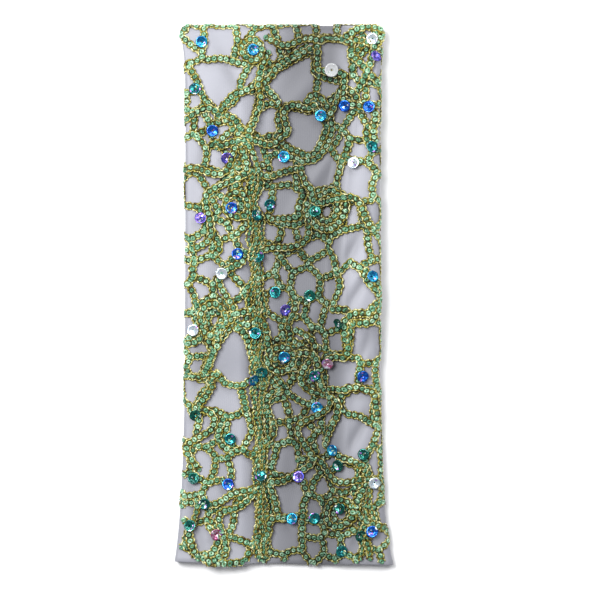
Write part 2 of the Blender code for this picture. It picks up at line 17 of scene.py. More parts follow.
import bpy
import numpy as np
from numpy.typing import NDArray
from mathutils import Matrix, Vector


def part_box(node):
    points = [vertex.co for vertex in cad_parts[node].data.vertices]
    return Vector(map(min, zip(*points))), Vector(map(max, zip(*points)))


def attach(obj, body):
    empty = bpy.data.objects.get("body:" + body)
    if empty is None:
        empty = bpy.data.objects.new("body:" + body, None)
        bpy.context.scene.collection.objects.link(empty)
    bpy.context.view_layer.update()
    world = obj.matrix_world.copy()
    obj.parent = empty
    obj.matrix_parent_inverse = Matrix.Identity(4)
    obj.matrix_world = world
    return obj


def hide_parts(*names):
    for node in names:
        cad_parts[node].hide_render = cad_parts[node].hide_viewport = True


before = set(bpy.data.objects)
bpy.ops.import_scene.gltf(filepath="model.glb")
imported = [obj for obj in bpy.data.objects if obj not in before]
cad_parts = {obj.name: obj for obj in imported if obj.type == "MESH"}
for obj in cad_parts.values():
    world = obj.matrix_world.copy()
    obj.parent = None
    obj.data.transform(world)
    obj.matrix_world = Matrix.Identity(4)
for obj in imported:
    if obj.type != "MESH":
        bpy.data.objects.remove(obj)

Array = NDArray[np.float64]
Whole = NDArray[np.int64]
Shape = tuple[Array, Whole]  # points, and the faces' point numbers
Outline = tuple[list[Array], list[int]]  # a cell's corners, and what lies past the side after each
Colour = tuple[float, float, float]
Mesh = bpy.types.Mesh
Piece = bpy.types.Object
Material = bpy.types.Material
Socket = bpy.types.NodeSocket
Group = bpy.types.NodeTree
Node = bpy.types.Node

METRES = 0.001
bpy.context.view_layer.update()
LOG = logging.getLogger("napkin")


def soft_step(value: Array) -> Array:
    """Return 0 below 0, 1 above 1, and 3x^2 - 2x^3 between them."""
    part = np.clip(value, 0.0, 1.0)
    return part * part * (3.0 - 2.0 * part)


def unit(vectors: Array) -> Array:
    """Return vectors one long that point the same ways."""
    return vectors / np.linalg.norm(vectors, axis=-1, keepdims=True)


@dataclass(frozen=True)
class Side:
    """How far one long side lies from the centre line, and how it flares at the ends."""

    half_width: float
    open_flare: float
    open_reach: float
    folded_flare: float
    folded_reach: float


@dataclass(frozen=True)
class Layer:
    """One layer's place in the pile, and its share of the upper layer's rise at each side."""

    level: int
    left_share: float
    right_share: float


class Section(NamedTuple):
    """The upper layer's shape across the strip, at one distance from the open end."""

    along: float
    left_top: float
    left_foot: float
    right_foot: float
    right_top: float
    left_rise: float
    right_rise: float


SECTIONS = (
    Section(0.0, -27.0, -10.5, 24.5, 43.0, 4.0, 3.2),
    Section(55.0, -26.5, -11.5, 26.5, 42.0, 5.6, 4.8),
    Section(118.0, -27.5, -12.5, 27.0, 42.0, 5.8, 5.4),
    Section(174.0, -29.0, -15.0, 26.0, 40.0, 5.6, 5.8),
    Section(224.0, -30.0, -16.0, 26.5, 40.5, 5.4, 5.6),
    Section(286.0, -26.5, -9.0, 33.0, 46.5, 4.8, 4.6),
    Section(323.0, -24.0, -4.0, 30.0, 43.5, 3.0, 3.0),
)

FACE = Layer(level=3, left_share=1.0, right_share=1.0)
UPPER_INNER = Layer(level=2, left_share=0.50, right_share=0.44)
LOWER_INNER = Layer(level=1, left_share=0.50, right_share=0.44)
BACK = Layer(level=0, left_share=0.0, right_share=0.0)


class Crease(NamedTuple):
    """A soft ridge, or a groove where its height is negative, on the upper layer."""

    across: float
    along: float
    heading: float
    length: float
    width: float
    height: float


CREASES = (
    Crease(24.0, 247.0, 58.0, 17.0, 4.2, 1.2),
    Crease(44.0, 198.0, 62.0, 13.0, 3.6, -1.3),
    Crease(50.0, 186.0, 66.0, 15.0, 3.4, 1.1),
    Crease(46.5, 171.0, 60.0, 12.0, 3.2, -1.2),
    Crease(54.0, 143.0, 70.0, 14.0, 3.2, -1.2),
    Crease(47.0, 120.0, 64.0, 18.0, 4.0, 0.9),
    Crease(48.0, 84.0, 62.0, 14.0, 3.4, -1.3),
    Crease(52.0, 44.0, 80.0, 26.0, 3.2, -1.1),
    Crease(44.0, 28.0, 78.0, 22.0, 3.6, 0.9),
    Crease(12.0, 296.0, 50.0, 16.0, 5.0, 0.9),
    Crease(9.0, 222.0, 64.0, 18.0, 4.4, 0.9),
    Crease(18.0, 150.0, 74.0, 22.0, 4.0, 0.8),
    Crease(2.0, 86.0, 84.0, 30.0, 4.6, 0.9),
    Crease(14.0, 42.0, 82.0, 26.0, 4.4, 1.0),
    Crease(-33.0, 309.0, 118.0, 18.0, 4.0, -1.1),
    Crease(-47.0, 262.0, 74.0, 20.0, 4.4, -0.9),
    Crease(-40.0, 176.0, 96.0, 24.0, 5.0, -0.8),
    Crease(-52.0, 128.0, 84.0, 24.0, 4.2, -0.9),
    Crease(-38.0, 60.0, 100.0, 26.0, 4.6, -0.9),
    Crease(-54.0, 22.0, 97.0, 26.0, 3.4, -1.0),
)


@dataclass(frozen=True)
class Fold:
    """The folded strip: where the cloth's middle line runs in every section of it."""

    cut_size: float = 508.0
    cloth: float = 1.0
    layer_gap: float = 0.6
    layers: int = 4
    under_bend_radius: float = 0.8
    under_narrowing: float = 1.5
    descent_length: float = 62.0
    descent_clearance: float = 4.0
    loft_fade: float = 30.0
    left_bend_shape: float = 1.1
    right_bend_shape: float = 0.9
    lower_bend_tuck: float = 0.7
    free_edge_inset: float = 2.2
    side_crown: float = 0.7
    slant: float = 1.4
    slant_reach: float = 40.0
    wander: float = 0.55
    wander_reach: float = 24.0
    crease_margin: float = 2.0
    crease_fade: float = 9.0
    # Painted shade: these fields set how much the colours are darkened in the grooves, by the folded end,
    # in the long hollow and in the right corner by the open end.
    crease_shade: float = 0.34
    end_shade: float = 0.15
    end_reach: float = 80.0
    left_ease: float = 16.0
    right_ease: float = 6.0
    corner_shade: float = 0.42
    corner_shade_across: float = 45.0
    corner_shade_along: float = 170.0
    left: Side = Side(60.9, 7.0, 50.0, 3.4, 11.0)
    right: Side = Side(60.9, 9.0, 37.0, 3.0, 14.0)

    @property
    def layer_step(self) -> float:
        """Return the distance from one layer to the next."""
        return self.cloth + self.layer_gap

    @property
    def turned_under(self) -> float:
        """Return the length of the strip that is turned under."""
        return self.cut_size / 3.0

    @property
    def flat_stack(self) -> float:
        """Return the height of the flat pile."""
        return self.layers * self.cloth + (self.layers - 1) * self.layer_gap

    @property
    def upper_base(self) -> float:
        """Return the height of the upper pile over the turned-under end."""
        return self.flat_stack + 2.0 * self.under_bend_radius

    @property
    def folded_end(self) -> float:
        """Return how far the folded end lies from the strip's middle."""
        return (self.cut_size - self.turned_under) / 2.0

    @property
    def outer_bend_radius(self) -> float:
        """Return the radius of the outside of the fold that turns the strip under."""
        return self.under_bend_radius + self.flat_stack

    @property
    def upper_run(self) -> float:
        """Return the distance from the open end to where the fold begins."""
        return 2.0 * self.folded_end - self.outer_bend_radius

    @property
    def bend_run(self) -> float:
        """Return the length of the fold's outer half turn."""
        return math.pi * self.outer_bend_radius

    @property
    def under_run(self) -> float:
        """Return the length of the flat part that is turned under."""
        return self.turned_under - self.outer_bend_radius

    @property
    def descent_start(self) -> float:
        """Return where the upper pile starts to come down off the turned-under end."""
        return self.upper_run + self.outer_bend_radius - self.turned_under - self.descent_clearance

    def section_at(self, along: Array) -> Section:
        """Blend the table's rows with a soft step between each row and the next.

        Args:
            along: distances from the open end.

        Returns:
            A section with an array in each field.
        """
        table = np.array(SECTIONS)
        place = np.clip(along, table[0, 0], table[-1, 0])
        upper = np.clip(np.searchsorted(table[:, 0], place), 1, len(table) - 1)
        before = table[upper - 1]
        after = table[upper]
        part = soft_step((place - before[..., 0]) / (after[..., 0] - before[..., 0]))
        return Section(*np.moveaxis(before + (after - before) * part[..., None], -1, 0))

    def half_width(self, side: Side, along: Array) -> Array:
        """Add a flare that dies out exponentially from each end to the side's own distance.

        Args:
            side: the long side.
            along: distances from the open end.

        Returns:
            The side's distance from the centre line.
        """
        turning = soft_step((along - self.upper_run) / self.bend_run)
        to_folded = np.maximum(self.upper_run - along, 0.0)
        folded_part = np.maximum(1.0 - 2.0 * turning, 0.0) * np.exp(-to_folded / side.folded_reach)
        flare = side.open_flare * np.exp(-along / side.open_reach) + side.folded_flare * folded_part
        return side.half_width + flare - self.under_narrowing * turning

    def ends(self, along: Array) -> tuple[Array, Array]:
        """Return where the strip's left and right sides lie across it."""
        return -self.half_width(self.left, along), self.half_width(self.right, along)

    def creased(self, across: Array, along: Array) -> Array:
        """Sum the creases: each a bell across its line that fades out towards its two ends.

        Args:
            across: places across the strip.
            along: distances from the open end.

        Returns:
            The rise of the upper layer there.
        """
        total = np.zeros(np.broadcast(across, along).shape)
        for crease in CREASES:
            turn = math.radians(crease.heading)
            aside = across - crease.across
            ahead = along - crease.along
            lengthwise = aside * math.cos(turn) + ahead * math.sin(turn)
            sidewise = ahead * math.cos(turn) - aside * math.sin(turn)
            bell = np.exp(-((sidewise / crease.width) ** 2) - (lengthwise / crease.length) ** 2)
            total += crease.height * bell
        return total

    def height(self, layer: Layer, across: Array, along: Array) -> Array:
        """Add the layer's place in the flat pile to its share of the rise outside each wall.

        Args:
            layer: which layer.
            across: places across the strip.
            along: distances from the open end.

        Returns:
            The height of the layer's middle above the pile's lower face.
        """
        shape = self.section_at(along)
        loft = 1.0 - soft_step((along - self.upper_run + self.loft_fade) / self.loft_fade)
        left_end, right_end = self.ends(along)
        outside_left = 1.0 - soft_step((across - shape.left_top) / (shape.left_foot - shape.left_top))
        outside_right = soft_step((across - shape.right_foot) / (shape.right_top - shape.right_foot))
        left_part = np.clip((across - left_end) / (shape.left_top - left_end), 0.0, 1.0)
        right_part = np.clip((right_end - across) / (right_end - shape.right_top), 0.0, 1.0)
        left_rise = shape.left_rise + self.side_crown * np.sin(math.pi * left_part) ** 2
        right_rise = shape.right_rise + self.side_crown * np.sin(math.pi * right_part) ** 2
        rise = layer.left_share * left_rise * outside_left + layer.right_share * right_rise * outside_right
        if layer is FACE:
            at_side = np.minimum(across - left_end, right_end - across)
            part = soft_step((at_side - self.crease_margin) / self.crease_fade)
            rise = rise + self.creased(across, along) * part
        return self.cloth / 2.0 + layer.level * self.layer_step + loft * rise

    def hollow(self, across: Array, along: Array) -> Array:
        """Work out how much painted shade each place's colour gets.

        The long hollow counts as a soft step from each wall, and a little more by the folded
        end. A share of each groove's depth is added, and a soft step towards the right side
        that fades out away from the open end.

        Args:
            across: places across the strip.
            along: distances from the open end.

        Returns:
            About 0 on the high left side, and 1 or a little more at the bottom of the hollow.
        """
        shape = self.section_at(along)
        past_left = (across - shape.left_top) / (shape.left_foot + self.left_ease - shape.left_top)
        past_right = (across - shape.right_foot) / (shape.right_top + self.right_ease - shape.right_foot)
        near_end = soft_step((along - self.upper_run) / self.end_reach + 1.0)
        middle = soft_step(past_left) * (1.0 - soft_step(past_right)) * (1.0 + self.end_shade * near_end)
        # Painted shade: the right side is made darker near the open end, though it lies no lower there.
        corner = soft_step(across / self.corner_shade_across) * (1.0 - soft_step(along / self.corner_shade_along))
        grooves = self.crease_shade * np.maximum(-self.creased(across, along), 0.0)
        return middle + grooves + self.corner_shade * corner

    def bend_depths(self, along: Array) -> tuple[Array, Array]:
        """Take half the height that each side's bend has to turn through, by the bend's shape.

        Args:
            along: distances from the open end.

        Returns:
            How far the cloth's middle line bulges at the left and at the right side.
        """
        left_end, right_end = self.ends(along)
        left_gap = self.height(FACE, left_end, along) - self.height(UPPER_INNER, left_end, along)
        right_gap = self.height(FACE, right_end, along) - self.height(BACK, right_end, along)
        return self.left_bend_shape * left_gap / 2.0, self.right_bend_shape * right_gap / 2.0

    def place(self, along: Array, across: Array, height: Array, wander: Array) -> Array:
        """Put points of a section into the model.

        The path runs level, comes down off the turned-under end in a soft step, and rounds a
        half turn at the folded end, where heights count outwards from the turn's centre.

        Args:
            along: distances along the path.
            across: places across the strip.
            height: heights above the pile's lower face.
            wander: how far each point's own layer end lies from the strip's end.

        Returns:
            Points in millimetres, with X, Y and Z in the last axis.
        """
        descent = (self.descent_start - along) / self.descent_length
        base = self.upper_base * (1.0 - soft_step(descent))
        part = np.clip(descent, 0.0, 1.0)
        slope = self.upper_base * 6.0 * part * (1.0 - part) / self.descent_length
        turn = np.clip((along - self.upper_run) / self.bend_run, 0.0, 1.0) * math.pi
        tilt = np.where(turn > 0.0, turn, -np.arctan(slope))
        beyond = np.maximum(along - self.upper_run - self.bend_run, 0.0)
        centre_y = self.folded_end - self.outer_bend_radius
        path_y = np.where(turn > 0.0, centre_y - beyond, along - self.folded_end)
        path_z = np.where(turn > 0.0, self.outer_bend_radius, base)
        reach = np.where(turn > 0.0, self.under_bend_radius + height, height)
        slant = self.slant * across / self.right.half_width * np.exp(-along / self.slant_reach)
        uneven = wander * np.exp(-along / self.wander_reach)
        y = path_y + reach * np.sin(tilt) - slant + uneven
        z = path_z + reach * np.cos(tilt)
        return np.stack(np.broadcast_arrays(across, y, z), axis=-1)


def half_round(centre: Array, depth: Array, upper: Array, lower: Array, steps: int) -> Array:
    """Carry a half ellipse from an upper height to a lower one, without its two end points.

    Args:
        centre: where the bend begins, across the strip, one for each section.
        depth: how far it bulges, negative to the left.
        upper: the height at its start.
        lower: the height at its end.
        steps: how many steps it takes.

    Returns:
        Across and height of each point, by section and step.
    """
    angle = np.linspace(math.pi / 2.0, -math.pi / 2.0, steps + 1)[1:-1]
    across = centre + depth * np.cos(angle)
    height = (upper + lower) / 2.0 + (upper - lower) / 2.0 * np.sin(angle)
    return np.stack((across, height), axis=-1)


def offset_normals(lines: Array) -> Array:
    """Return normals to the left of each line, lengthened at corners so an offset keeps its width.

    Args:
        lines: points of several lines, by line, point and axis.

    Returns:
        One normal for each point.
    """
    steps = unit(np.diff(lines, axis=1))
    before = np.concatenate((steps[:, :1], steps), axis=1)
    after = np.concatenate((steps, steps[:, -1:]), axis=1)
    middle = unit(before + after)
    stretch = 1.0 / np.sum(middle * after, axis=-1, keepdims=True)
    return np.stack((-middle[..., 1], middle[..., 0]), axis=-1) * stretch


def run_lengths(lines: Array) -> Array:
    """Return the distance of each point from the start of its line."""
    steps = np.linalg.norm(np.diff(lines, axis=1), axis=-1)
    return np.concatenate((np.zeros((len(lines), 1)), np.cumsum(steps, axis=1)), axis=1)


def wrapped_faces(rows: int, columns: int, ends_meet: bool = True) -> Whole:
    """Number the four-cornered faces of a grid of points whose every row closes on itself.

    Args:
        rows: how many rows of points it has.
        columns: how many points each row has.
        ends_meet: whether the last row is joined to the first.

    Returns:
        Each face's point numbers.
    """
    strips = rows if ends_meet else rows - 1
    row, column = np.meshgrid(np.arange(strips), np.arange(columns), indexing="ij")
    below = (row + 1) % rows * columns
    after = (column + 1) % columns
    corners = (row * columns + column, below + column, below + after, row * columns + after)
    return np.stack(corners, axis=-1).reshape(-1, 4)


def repeated(points: Array, faces: Whole) -> Shape:
    """Return the copies of one shape as one, from their points by copy and the shape's faces."""
    numbers = faces[None] + (np.arange(len(points)) * points.shape[1])[:, None, None]
    return points.reshape(-1, 3), numbers.reshape(-1, faces.shape[1])


def joined(parts: list[Shape]) -> Shape:
    """Join several shapes into one.

    Args:
        parts: the shapes.

    Returns:
        All their points, and their faces with the new point numbers.
    """
    starts = np.cumsum([0] + [len(points) for points, _ in parts[:-1]])
    faces = [part + start for (_, part), start in zip(parts, starts)]
    return np.concatenate([points for points, _ in parts]), np.concatenate(faces)


def new_mesh(name: str, points: Array, faces: Whole) -> Mesh:
    """Fill a mesh from arrays in one go.

    Args:
        name: the mesh's name.
        points: places in millimetres.
        faces: each face's four point numbers.

    Returns:
        The mesh, in metres.
    """
    mesh = bpy.data.meshes.new(name)
    mesh.vertices.add(len(points))
    mesh.vertices.foreach_set("co", (points * METRES).astype(np.float32).ravel())
    mesh.loops.add(faces.size)
    mesh.loops.foreach_set("vertex_index", faces.astype(np.int32).ravel())
    mesh.polygons.add(len(faces))
    mesh.polygons.foreach_set("loop_start", np.arange(0, faces.size, 4, dtype=np.int32))
    mesh.update(calc_edges=True)
    return mesh


def add_values(mesh: Mesh, name: str, values: Array) -> None:
    """Give each point of a mesh one number under a name."""
    attribute = mesh.attributes.new(name, "FLOAT", "POINT")
    attribute.data.foreach_set("value", values.astype(np.float32))


def add_uv(mesh: Mesh, places: Array) -> None:
    """Give each point of a mesh a place on its own flat pattern, in metres.

    Args:
        mesh: the mesh.
        places: two distances in millimetres for each point.
    """
    numbers = np.empty(len(mesh.loops), np.int32)
    mesh.loops.foreach_get("vertex_index", numbers)
    layer = mesh.uv_layers.new(name="flat")
    layer.data.foreach_set("uv", (places[numbers] * METRES).astype(np.float32).ravel())


def put(name: str, data: bpy.types.ID) -> Piece:
    """Make an object at the origin and put it into the scene.

    Args:
        name: the object's name.
        data: its mesh, light or camera.

    Returns:
        The object.
    """
    made = bpy.data.objects.new(name, data)
    bpy.context.scene.collection.objects.link(made)
    return made


def new_piece(mesh: Mesh, material: Material, stands_for: str, smooth: bool = True) -> Piece:
    """Make a mesh a piece of the object that rides on its one body.

    Args:
        mesh: the finished mesh, whose name the piece takes.
        material: its finish.
        stands_for: the solid that the piece replaces.
        smooth: whether its faces are shaded smooth.

    Returns:
        The piece, with its object at the origin.
    """
    if smooth:
        mesh.shade_smooth()
    mesh.materials.append(material)
    piece = put(mesh.name, mesh)
    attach(piece, "root")
    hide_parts(stands_for)
    return piece


@dataclass
class Satin:
    """The folded square of satin: one closed sheet along its path."""

    fold: Fold
    face_steps: tuple[int, ...] = (30, 24, 20, 22, 28)
    inner_steps: tuple[int, ...] = (6, 6, 4, 6, 6)
    back_steps: tuple[int, ...] = (4, 4, 4, 4, 4)
    small_bend_steps: int = 12
    large_bend_steps: int = 18
    station_step: float = 2.4
    turning_steps: int = 18
    under_steps: int = 14
    rim_stations: tuple[float, ...] = (0.0, 0.2, 0.5, 3.0, 4.2)
    rim_thickness: tuple[float, ...] = (0.35, 0.85, 1.2, 1.2, 1.0)
    edge_slow: float = 41.0
    edge_quick: float = 9.7
    quick_share: float = 0.45
    edge_phases: tuple[float, float] = (1.1, 0.4)

    def stations(self) -> Array:
        """Space the sections evenly in each stretch of the path, and closely at both rims.

        Returns:
            The sections' distances from the open end.
        """
        fold = self.fold
        count = round((fold.upper_run - self.rim_stations[-1]) / self.station_step)
        upper = np.linspace(self.rim_stations[-1], fold.upper_run, count)[1:]
        turning = fold.upper_run + np.linspace(0.0, fold.bend_run, self.turning_steps + 1)[1:]
        end = turning[-1] + fold.under_run
        under = np.linspace(turning[-1], end - self.rim_stations[-1], self.under_steps + 1)[1:]
        rim = end - np.array(self.rim_stations)[-2::-1]
        return np.concatenate((self.rim_stations, upper, turning, under, rim))

    def thickness(self, along: Array) -> Array:
        """Return the cloth's thickness, with a rounded edge and a narrow rolled hem at both ends."""
        from_end = np.minimum(along, self.stations()[-1] - along)
        return self.fold.cloth * np.interp(from_end, self.rim_stations, self.rim_thickness)

    def run(self, layer: Layer, along: Array, steps: tuple[int, ...], start: Array, end: Array) -> Array:
        """Carry a layer across each section, evenly spaced between the walls' tops and feet.

        Args:
            layer: which layer.
            along: the sections' distances, as a column.
            steps: how many steps each of the five stretches has.
            start: where the run starts, as a column.
            end: where it ends, as a column.

        Returns:
            Across and height of each point, by section and point.
        """
        shape = self.fold.section_at(along)
        stops = (start, shape.left_top, shape.left_foot, shape.right_foot, shape.right_top, end)
        stretches = zip(stops, stops[1:], steps)
        runs = [low + (high - low) * np.arange(count) / count for low, high, count in stretches]
        across = np.concatenate((*runs, end), axis=1)
        return np.stack((across, self.fold.height(layer, across, along)), axis=-1)

    def path(self, along: Array) -> Array:
        """Join the four layers and their bends into the cloth's middle line, from hem to hem.

        It starts at the hem inside the upper pair of layers, turns at the left side, crosses
        as the face, turns at the right side, comes back as the back and ends inside.

        Args:
            along: the sections' distances.

        Returns:
            Across and height of each point, by section and point.
        """
        fold = self.fold
        row = along[:, None]
        left_end, right_end = fold.ends(row)
        left_depth, right_depth = fold.bend_depths(row)
        left = left_end + fold.cloth / 2.0 + left_depth
        right = right_end - fold.cloth / 2.0 - right_depth
        lower_left = left + fold.lower_bend_tuck
        hem = right - fold.free_edge_inset
        upper_inner = self.run(UPPER_INNER, row, self.inner_steps, left, hem)
        lower_inner = self.run(LOWER_INNER, row, self.inner_steps, lower_left, hem)
        face = self.run(FACE, row, self.face_steps, left, right)
        back = self.run(BACK, row, self.back_steps, lower_left, right)
        tops = (face[:, :1, 1], face[:, -1:, 1], lower_inner[:, :1, 1])
        upper_bend = half_round(left, -left_depth, tops[0], upper_inner[:, :1, 1], self.small_bend_steps)
        side_bend = half_round(right, right_depth, tops[1], back[:, -1:, 1], self.large_bend_steps)
        lower_bend = half_round(lower_left, -left_depth, tops[2], back[:, :1, 1], self.small_bend_steps)
        upper_parts = (upper_inner[:, ::-1], upper_bend[:, ::-1], face, side_bend)
        lower_parts = (back[:, ::-1], lower_bend[:, ::-1], lower_inner)
        return np.concatenate(upper_parts + lower_parts, axis=1)

    def wander(self, distance: Array) -> Array:
        """Add two sines of the path, for the cloth's uneven edge at the open end.

        Args:
            distance: distances along the path from the hem.

        Returns:
            How far each point's own layer end lies from the strip's end.
        """
        slow = np.sin(distance / self.edge_slow + self.edge_phases[0])
        quick = np.sin(distance / self.edge_quick + self.edge_phases[1])
        return self.fold.wander * (slow + self.quick_share * quick)

    def surfaces(self, along: Array) -> tuple[Array, Array, Array]:
        """Offset the middle line by half the thickness to both sides.

        Args:
            along: the sections' distances.

        Returns:
            The outer surface, the inner surface, and each point's distance from the hem.
        """
        path = self.path(along)
        normals = offset_normals(path)
        distance = run_lengths(path)
        half = self.thickness(along)[:, None, None] / 2.0
        wander = self.wander(distance)
        row = along[:, None]
        placed = []
        for line in (path + normals * half, path - normals * half):
            placed.append(self.fold.place(row, line[..., 0], line[..., 1], wander))
        return placed[0], placed[1], distance

    def build(self, material: Material, shift: Array) -> Piece:
        """Join the outer and the inner surface into one closed sheet.

        Args:
            material: the satin's finish.
            shift: the move from the fold's own place to the frame's.

        Returns:
            The piece.
        """
        along = self.stations()
        outer, inner, distance = self.surfaces(along)
        rings = np.concatenate((outer, inner[:, ::-1]), axis=1) + shift
        sections, count = rings.shape[:2]
        sides = wrapped_faces(sections, count, ends_meet=False)[:, [0, 3, 2, 1]]
        step = np.arange(count // 2 - 1)
        first = np.stack((count - 1 - step, count - 2 - step, step + 1, step), axis=-1)
        last = first[:, ::-1] + (sections - 1) * count
        faces = np.concatenate((sides, first, last))
        mesh = new_mesh("satin_sheet", rings.reshape(-1, 3), faces)
        # Painted shade: the hollow value darkens the satin's colour in the long hollow, the grooves and
        # the right corner by the open end.
        hollow = self.fold.hollow(rings[..., 0] - shift[0], along[:, None])
        add_values(mesh, "hollow", hollow.ravel())
        both = np.concatenate((distance, distance[:, ::-1]), axis=1)
        lengthwise = np.broadcast_to(along[:, None], both.shape)
        add_uv(mesh, np.stack((both, lengthwise), axis=-1).reshape(-1, 2))
        return new_piece(mesh, material, "satin_ground")


class FaceMap:
    """The satin's outer face, read by flat distances across and along it."""

    margin: float = 4.0
    column_step: float = 0.6
    least_upward: float = 0.2

    def __init__(self, satin: Satin, shift: Array, low: float, high: float) -> None:
        """Resample the outer face at even flat distances from the centre line.

        Args:
            satin: the satin that the lace lies on.
            shift: the move to the frame's place.
            low: the lace's lowest flat distance across, at the left.
            high: its highest, at the right.
        """
        self.fold = satin.fold
        self.along = satin.stations()[: -satin.under_steps]
        self.across = np.arange(low - self.margin, high + self.margin + self.column_step, self.column_step)
        steps = satin.face_steps
        inner = sum(satin.inner_steps)
        first = inner // 2
        face = inner + satin.small_bend_steps
        last = face + sum(steps) + satin.large_bend_steps + sum(satin.back_steps) // 2
        over_middle = slice(face - first + steps[0], face - first + sum(steps[:3]) + steps[3] // 2)
        outer, _, _ = satin.surfaces(self.along)
        line = outer[:, first:last]
        rows = []
        for points, reach in zip(line, run_lengths(line)):
            zero = np.interp(0.0, points[over_middle, 0], reach[over_middle])
            flat = zero + self.across
            rows.append(np.stack([np.interp(flat, reach, points[:, axis]) for axis in range(3)], axis=-1))
        self.points = np.stack(rows) + shift
        self.middle = shift[0]
        lengthwise = np.gradient(self.points, axis=0)
        crosswise = np.gradient(self.points, axis=1)
        self.normals = unit(np.cross(crosswise, lengthwise))

    def lift(self, flat: Array) -> Array:
        """Interpolate the face and its normals bilinearly, and go out along the normal.

        Args:
            flat: places across, along and above the face, in the last axis.

        Returns:
            Points in the model, of the same shape.
        """
        column = np.interp(flat[..., 0], self.across, np.arange(len(self.across)))
        row = np.interp(flat[..., 1], self.along, np.arange(len(self.along)))
        left = np.minimum(column.astype(int), len(self.across) - 2)
        lower = np.minimum(row.astype(int), len(self.along) - 2)
        aside = (column - left)[..., None]
        ahead = (row - lower)[..., None]
        found = []
        for grid in (self.points, self.normals):
            near = grid[lower, left] * (1.0 - aside) + grid[lower, left + 1] * aside
            far = grid[lower + 1, left] * (1.0 - aside) + grid[lower + 1, left + 1] * aside
            found.append(near * (1.0 - ahead) + far * ahead)
        return found[0] + found[1] * flat[..., 2:]

    def flat_place(self, places: Array) -> Array:
        """Return the flat place of the upper face that lies nearest to each plan place.

        Args:
            places: across and along of each place as seen from above, from the open end's middle.

        Returns:
            Flat distances across and along the face.
        """
        start = self.points[0, :, 1].mean()
        upper = (self.normals[..., 2] > self.least_upward) & (self.along < self.fold.upper_run)[:, None]
        seen = np.where(upper[..., None], self.points[..., :2], np.inf)
        found = []
        for across, along in places:
            away = np.hypot(seen[..., 0] - self.middle - across, seen[..., 1] - start - along)
            row, column = np.unravel_index(np.argmin(away), away.shape)
            found.append((self.across[column], self.along[row]))
        return np.array(found)


class Opening(NamedTuple):
    """One of the lace's largest openings: a flat place, its cell's radius, and its corners.

    The turn says which way one of the corners points, in degrees.
    """

    across: float
    along: float
    radius: float
    corners: int
    turn: float


OPENINGS = (
    Opening(-39.0, 327.0, 10.0, 4, 45.0),
    Opening(33.0, 319.0, 10.5, 4, 40.0),
    Opening(-40.0, 303.0, 14.0, 3, 30.0),
    Opening(7.0, 301.0, 14.5, 3, 60.0),
    Opening(-27.0, 285.0, 9.5, 3, 45.0),
    Opening(-10.0, 278.0, 9.5, 3, 90.0),
    Opening(13.0, 275.0, 12.5, 5, 70.0),
    Opening(2.0, 247.0, 9.5, 4, 45.0),
    Opening(25.0, 247.0, 10.5, 5, 0.0),
    Opening(49.0, 241.0, 10.0, 4, 30.0),
    Opening(6.0, 226.0, 10.5, 4, 45.0),
    Opening(45.0, 198.0, 10.5, 4, 60.0),
    Opening(47.0, 172.0, 10.5, 3, 100.0),
    Opening(54.0, 142.0, 11.0, 4, 45.0),
    Opening(-35.0, 130.0, 13.5, 3, 90.0),
    Opening(39.0, 121.0, 10.5, 4, 45.0),
    Opening(-43.0, 106.0, 11.0, 3, 90.0),
    Opening(-56.0, 110.0, 9.0, 3, 30.0),
    Opening(52.0, 100.0, 10.0, 4, 30.0),
    Opening(45.0, 80.0, 13.0, 4, 20.0),
    Opening(-25.0, 57.0, 10.5, 4, 50.0),
    Opening(6.0, 41.0, 10.5, 4, 45.0),
    Opening(-23.0, 27.0, 11.0, 3, 90.0),
    Opening(5.0, 19.0, 10.0, 4, 45.0),
)


class Rosette(NamedTuple):
    """A middle cell in a ring of small ones, as a flat place on the lace."""

    across: float
    along: float
    radius: float
    petals: int


ROSETTES = (
    Rosette(-33.0, 225.0, 4.2, 7),
    Rosette(30.0, 221.0, 4.6, 8),
    Rosette(-45.0, 154.0, 4.2, 7),
    Rosette(5.0, 129.0, 4.4, 7),
    Rosette(39.0, 32.0, 4.6, 8),
)


class Net(NamedTuple):
    """The lace's plan: its nodes, and for each side its two nodes and a place at its middle."""

    nodes: Array
    ends: Whole
    middles: Array


def smooth_line(controls: Array, steps: int = 8) -> Array:
    """Run a Catmull-Rom curve through places.

    Args:
        controls: the places, at least two.
        steps: how many steps each stretch between two places takes.

    Returns:
        Places along the curve.
    """
    start = 2.0 * controls[:1] - controls[1:2]
    end = 2.0 * controls[-1:] - controls[-2:-1]
    padded = np.concatenate((start, controls, end))
    before, here, there, after = padded[:-3], padded[1:-2], padded[2:-1], padded[3:]
    part = (np.arange(steps) / steps)[:, None, None]
    linear = (there - before) * part
    square = (2.0 * before - 5.0 * here + 4.0 * there - after) * part**2
    cube = (3.0 * here - before - 3.0 * there + after) * part**3
    curve = 0.5 * (2.0 * here + linear + square + cube)
    return np.concatenate((curve.transpose(1, 0, 2).reshape(-1, 2), controls[-1:]))


def left_of(line: Array) -> Array:
    """Return unit vectors to the left of a line at each of its places."""
    heading = unit(np.gradient(line, axis=0))
    return np.stack((-heading[:, 1], heading[:, 0]), axis=-1)


